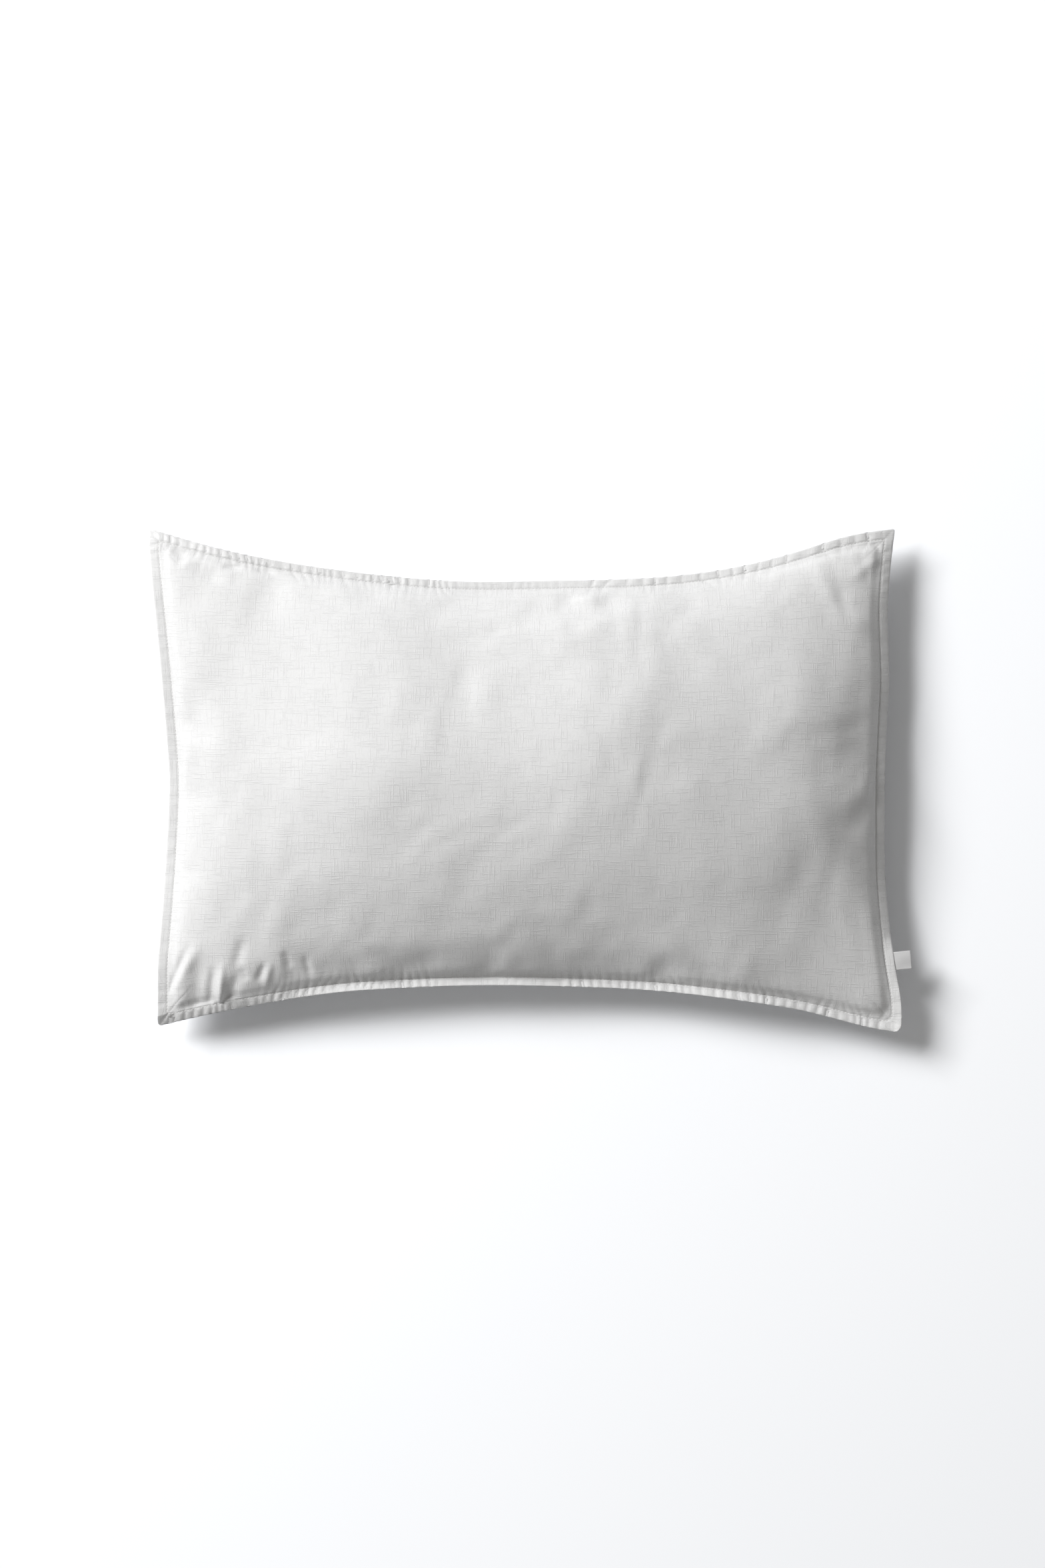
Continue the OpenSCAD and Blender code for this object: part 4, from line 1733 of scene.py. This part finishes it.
@dataclass
class Insert:
    """The ticking insert: two panels, piping with its cord, seam, closing stitches and fibre."""

    case: Case
    flat_length: float = 0.7085
    flat_width: float = 0.4585
    edge: float = 19.0
    seam: float = 21.4
    rim: float = 0.62
    step: float = 3.0
    piping: float = 17.05
    corner: float = 16.0
    cord_radius: float = 1.45
    strip_radius: float = 1.62
    ply: int = 3
    lay: float = 10.0
    fill_inset: float = 25.0
    fill_step: float = 4.6
    tuft: float = 1.1

    def skin(
        self,
        side: Side,
        u: np.ndarray,
        v: np.ndarray,
        inset: float,
        rim: float,
        step: float,
    ) -> np.ndarray:
        """Points of a skin that keeps the case's folds and undulations.

        Args:
            side: which side.
            u: lines along the pillow.
            v: lines across it.
            inset: how far inside the flange's edge it starts to rise, in millimetres.
            rim: its height over the seam's plane there, in millimetres.
            step: how far inside the case its crown is, in millimetres.

        Returns:
            The points by row and column.
        """
        form = self.case.form
        uu, vv = np.meshgrid(u, v, indexing="ij")
        points = form.skin(side, uu, vv, inset * MM, step * MM)
        level = form.seam_height(uu, vv)
        points[..., 2] = level + side.value * np.maximum(side.value * (points[..., 2] - level), rim * MM)
        edges = self.case.edge_distances(points[..., 0], points[..., 1], uu, vv)
        nearest = np.minimum.reduce([away for _, away in edges.values()])
        normals = grid_normals(points) * side.value
        away = smoothstep(inset + 1, inset + 12, nearest / MM)
        points += normals * (self.case.relief(side, u, v, points, nearest) * away)[..., None]
        return points

    def lines(self, edge: float, step: float) -> tuple[np.ndarray, np.ndarray]:
        """Mesh lines both ways over a skin.

        Args:
            edge: how far inside the flange's edge it ends, in millimetres.
            step: spacing in the middle, in millimetres.

        Returns:
            Places along the pillow and across it, -1 to 1.
        """
        both = []
        for half in (self.case.form.half_length, self.case.form.half_width):
            end = 1 - edge * MM / half
            both.append(crowded(-end, end, step * MM / half, 0.6 * MM / half, 25 * MM / half))
        return both[0], both[1]

    def ticking(self) -> list[bpy.types.Object]:
        """Builds the top and bottom ticking.

        Returns:
            The two pieces.
        """
        u, v = self.lines(self.edge, 5.0)
        pieces = []
        for side, name, node, other in (
            (Side.FRONT, "ticking_top_panel", "insert_ticking_top", "ticking_bottom_panel"),
            (Side.BACK, "ticking_bottom_panel", "insert_ticking_bottom", "linen_back_panel"),
        ):
            grid = self.skin(side, u, v, self.seam, self.rim, self.step)
            if side is Side.BACK:
                grid[..., 2] = np.maximum(grid[..., 2], 2.2 * MM)
            cloth = self.case.woven(grid).reshape(-1, 3)
            piece = mesh_object(
                name, grid.reshape(-1, 3), grid_faces(len(u), len(v), flip=side is Side.BACK), cloth
            )
            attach(piece, PILLOW)
            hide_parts(node)
            pieces.append(piece)
        LOG.info("ticking: %d points a panel", len(u) * len(v))
        return pieces

    def swept(self, name: str, path: np.ndarray, profile: np.ndarray, closed: bool) -> bpy.types.Object:
        """Sweeps a profile round the pillow.

        Args:
            name: the piece's name.
            path: the closed line that it follows.
            profile: its points, inwards and upwards in metres.
            closed: whether the profile is closed.

        Returns:
            The piece.
        """
        forward = np.roll(path, -1, axis=0) - np.roll(path, 1, axis=0)
        forward[:, 2] = 0
        forward /= np.linalg.norm(forward, axis=1, keepdims=True)
        inward = np.stack([-forward[:, 1], forward[:, 0], np.zeros(len(path))], axis=1)
        up = np.array([0.0, 0.0, 1.0])
        points = path[:, None] + inward[:, None] * profile[None, :, :1] + up * profile[None, :, 1:]
        count, sides = points.shape[:2]
        quads = []
        for i in range(count):
            for k in range(sides if closed else sides - 1):
                a, b = i * sides + k, i * sides + (k + 1) % sides
                c, d = (i + 1) % count * sides + (k + 1) % sides, (i + 1) % count * sides + k
                quads.append((a, b, c, d))
        run = np.concatenate([[0.0], np.cumsum(np.linalg.norm(np.diff(path, axis=0), axis=1))])
        girth = np.concatenate([[0.0], np.cumsum(np.linalg.norm(np.diff(profile, axis=0), axis=1))])
        place = np.stack(np.broadcast_arrays(run[:, None], girth[None, :], 0.0), axis=-1)
        return mesh_object(name, points.reshape(-1, 3), quads, place.reshape(-1, 3))

    def piping_strip(self) -> bpy.types.Object:
        """Builds the bias strip that is folded round the cord and sewn between the panels.

        Returns:
            The piece.
        """
        radius = self.strip_radius * MM
        turns = np.linspace(0.12 * np.pi, 1.88 * np.pi, 17)
        around = np.stack([radius * np.cos(turns), radius * np.sin(turns)], axis=1)
        tail = np.array([(4.6, 0.16), (3.4, 0.16), (2.4, 0.2)]) * MM
        profile = np.concatenate([tail, around, tail[::-1] * (1, -1)])
        path = self.case.form.ring(self.piping * MM, self.corner * MM, 1100)
        piece = self.swept("piping_bias_strip", path, profile, False)
        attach(piece, PILLOW)
        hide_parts("insert_piping_strip")
        return piece

    def piping_cord(self) -> bpy.types.Object:
        """Builds the filler cord as three twisted plies.

        Returns:
            The piece.
        """
        path = self.case.form.ring(self.piping * MM, self.corner * MM, 1500)
        loop = np.concatenate([path, path[:1]])
        run = np.concatenate([[0.0], np.cumsum(np.linalg.norm(np.diff(loop, axis=0), axis=1))])
        turns = round(run[-1] / (self.lay * MM))
        count = turns * 10
        at = np.arange(count) / count * run[-1]
        middle = np.stack([np.interp(at, run, loop[:, axis]) for axis in range(3)], axis=1)
        forward = np.roll(middle, -1, axis=0) - np.roll(middle, 1, axis=0)
        forward /= np.linalg.norm(forward, axis=1, keepdims=True)
        right = np.cross(forward, (0.0, 0.0, 1.0))
        right /= np.linalg.norm(right, axis=1, keepdims=True)
        up = np.cross(right, forward)
        small = self.cord_radius * MM * 0.46
        sides, points, faces, cloth = 6, [], [], []
        for ply in range(self.ply):
            twist = 2 * np.pi * (at / run[-1] * turns + ply / self.ply)
            centre = middle + (self.cord_radius * MM - small) * (
                np.cos(twist)[:, None] * right + np.sin(twist)[:, None] * up
            )
            angles = 2 * np.pi * np.arange(sides) / sides
            ring = np.cos(angles)[None, :, None] * right[:, None]
            ring = ring + np.sin(angles)[None, :, None] * up[:, None]
            first = ply * count * sides
            points.append((centre[:, None] + small * ring).reshape(-1, 3))
            i, k = np.meshgrid(np.arange(count), np.arange(sides), indexing="ij")
            j, m = (i + 1) % count, (k + 1) % sides
            quads = np.stack([i * sides + k, i * sides + m, j * sides + m, j * sides + k], axis=-1) + first
            faces += quads.reshape(-1, 4).tolist()
            place = np.stack(np.broadcast_arrays(at[:, None], angles[None, :] * small, 0.0), axis=-1)
            cloth.append(place.reshape(-1, 3))
        piece = mesh_object("piping_filler_cord", np.concatenate(points), faces, np.concatenate(cloth))
        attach(piece, PILLOW)
        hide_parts("insert_piping_cord")
        return piece

    def seam_stitches(self) -> bpy.types.Object:
        """Builds the seam that joins both panels and the piping.

        Returns:
            The piece.
        """
        path = self.case.form.ring((self.edge + 1.2) * MM, 3 * MM, 900) + (0, 0, (self.rim + 0.1) * MM)
        up = np.tile([0.0, 0.0, 1.0], (len(path), 1))
        piece = stitch_piece("insert_seam_stitches", path, up, StitchKind.SEAM)
        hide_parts("insert_seam_thread")
        return piece

    def closing_stitches(self) -> bpy.types.Object:
        """Builds the slip stitches that close the insert after it was filled.

        Returns:
            The piece.
        """
        form = self.case.form
        low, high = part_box("insert_closing_stitch")
        spans = []
        for y in np.arange(low.y, high.y, 3.4 * MM):
            v = y / form.half_width
            ends = []
            for inset, rise, slant in (
                (self.edge + 0.5, self.rim + 0.25, 0.0), (self.piping + 0.4, self.strip_radius + 0.22, 1.5)
            ):
                u = 1 - inset * MM / form.half_length
                x, spot = form.plan(np.array(u), np.array(v))
                level = form.seam_height(np.array(u), np.array(v))
                ends.append(np.array([float(x), float(spot) + slant * MM, float(level) + rise * MM]))
            spans.append((ends[0], ends[1], np.array([0.3, 0.0, 0.95])))
        piece = capsules("insert_closing_stitches", spans, 0.22 * MM, 0.12 * MM)
        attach(piece, PILLOW)
        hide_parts("insert_closing_stitch")
        return piece

    def care_label(self, ribbons: Ribbons) -> bpy.types.Object:
        """Builds the care label on top of the insert, caught in its left seam.

        Args:
            ribbons: the maker of ribbons.

        Returns:
            The piece.
        """
        form = self.case.form
        low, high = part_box("insert_care_label")
        start = -1 + (self.seam + 0.5) * MM / form.half_length
        u = start + np.linspace(0, 1, 14) * (high.x - low.x) / form.half_length
        v = np.linspace(low.y, high.y, 20) / form.half_width
        grid = self.skin(Side.FRONT, u, v, self.seam, self.rim, self.step)
        grid = grid + grid_normals(grid) * 0.45 * MM
        return ribbons.care_label("insert_care_ribbon", grid, "insert_care_label", "ticking_top_panel")

    def fibre(self) -> bpy.types.Object:
        """Builds the fibre filling as one lumpy closed body.

        Returns:
            The piece.
        """
        u, v = self.lines(self.fill_inset, 6.0)
        grids = []
        for side in (Side.FRONT, Side.BACK):
            grid = self.skin(side, u, v, self.fill_inset, 0.0, self.fill_step)
            x, y = grid[..., 0], grid[..., 1]
            lumps = relief_noise(x / 0.019, y / 0.019, 70 + side.value, 3) * 0.5 - 0.5
            away = smoothstep(0.0, 0.02, np.minimum((1 - abs(u))[:, None], (1 - abs(v))[None, :]) - 0.08)
            grid[..., 2] += side.value * lumps * self.tuft * MM * away
            if side is Side.BACK:
                grid[..., 2] = np.maximum(grid[..., 2], 3.6 * MM)
            grids.append(grid)
        rows, columns = len(u), len(v)
        grids[1][[0, -1], :] = grids[0][[0, -1], :]
        grids[1][:, [0, -1]] = grids[0][:, [0, -1]]
        points = np.concatenate([grid.reshape(-1, 3) for grid in grids])
        number = np.arange(rows * columns).reshape(rows, columns)
        back = number + rows * columns
        back[[0, -1], :] = number[[0, -1], :]
        back[:, [0, -1]] = number[:, [0, -1]]
        quads = np.array(grid_faces(rows, columns))
        faces = quads.tolist() + back.ravel()[quads][:, ::-1].tolist()
        used, faces = np.unique(np.array(faces), return_inverse=True)
        faces = faces.reshape(-1, 4).tolist()
        piece = mesh_object("fibre_filling", points[used], faces, points[used] * (1, 1, 1))
        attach(piece, PILLOW)
        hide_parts("fibre_fill")
        LOG.info("fibre: %d faces", len(faces))
        return piece


@dataclass
class Studio:
    """Camera, lights and floor."""

    form: CaseForm
    lens: float = 70.0
    sensor: float = 36.0
    view_height: float = 1.527

    def build(self) -> None:
        """Places the camera straight above the pillow, the soft key light and the white floor."""
        scene = bpy.context.scene
        camera = bpy.data.objects.new("camera", bpy.data.cameras.new("camera"))
        camera.data.lens, camera.data.sensor_width = self.lens, self.sensor
        camera.location = (-0.0032, -0.0032, self.form.seam_z + self.view_height * self.lens / self.sensor)
        scene.collection.objects.link(camera)
        scene.camera = camera
        toward = Vector((-0.64, 0.46, 0.60)).normalized()
        self.softbox("key", toward * 6.5, 2.65, 598.0)
        world = bpy.data.worlds.new("studio")
        world.use_nodes = True
        world.node_tree.nodes["Background"].inputs["Color"].default_value = (1.0, 0.985, 0.958, 1)
        world.node_tree.nodes["Background"].inputs["Strength"].default_value = 0.275
        scene.world = world
        scene.view_settings.view_transform = "Standard"
        floor = mesh_object(
            "floor", np.array([(-6, -6, 0), (6, -6, 0), (6, 6, 0), (-6, 6, 0)]), [(0, 1, 2, 3)]
        )
        material = bpy.data.materials.new("floor_white")
        material.use_nodes = True
        shader = material.node_tree.nodes["Principled BSDF"]
        shader.inputs["Base Color"].default_value = (0.958, 0.973, 1.0, 1)
        shader.inputs["Roughness"].default_value = 0.9
        shader.inputs["Specular IOR Level"].default_value = 0.0
        floor.data.materials.append(material)

    def softbox(self, name: str, place: Vector, size: float, power: float) -> None:
        """A square area light that looks at the pillow.

        Args:
            name: the light's name.
            place: where it stands.
            size: its side in metres.
            power: its power in watts.
        """
        light = bpy.data.lights.new(name, "AREA")
        light.shape, light.size, light.energy = "SQUARE", size, power
        holder = bpy.data.objects.new(name, light)
        holder.location = place
        holder.rotation_mode = "QUATERNION"
        holder.rotation_quaternion = (-place).to_track_quat("-Z", "Y")
        bpy.context.scene.collection.objects.link(holder)


def main() -> None:
    """Builds the pillow and its studio."""
    logging.basicConfig(level=logging.INFO)
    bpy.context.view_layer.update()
    form = CaseForm()
    inflation = Inflation(form)
    inflation.run()
    case = Case(form, inflation)
    linen = LinenFinish().material()
    thread = ThreadFinish().material()
    front, back, flap = case.front_panel(), case.back_panel(), case.underlap()
    for piece in (front, back, flap):
        piece.data.materials.append(linen)
    insert, ribbons = Insert(case), Ribbons(form)
    for piece in [
        *case.topstitching(),
        case.edge_seam(),
        *case.hem_stitching(),
        insert.seam_stitches(),
        insert.closing_stitches(),
    ]:
        piece.data.materials.append(thread)
    for piece, finish in (
        *((panel, TICKING) for panel in insert.ticking()),
        (insert.piping_strip(), PIPING),
        (insert.piping_cord(), CORD_COTTON),
        (insert.fibre(), FibreFinish()),
        (ribbons.side_label(), RIBBON_SATIN),
        (case.care_label(ribbons), CARE_RIBBON),
        (insert.care_label(ribbons), CARE_RIBBON),
    ):
        piece.data.materials.append(finish.material())
    Studio(form).build()


if __name__ == "__main__":
    main()
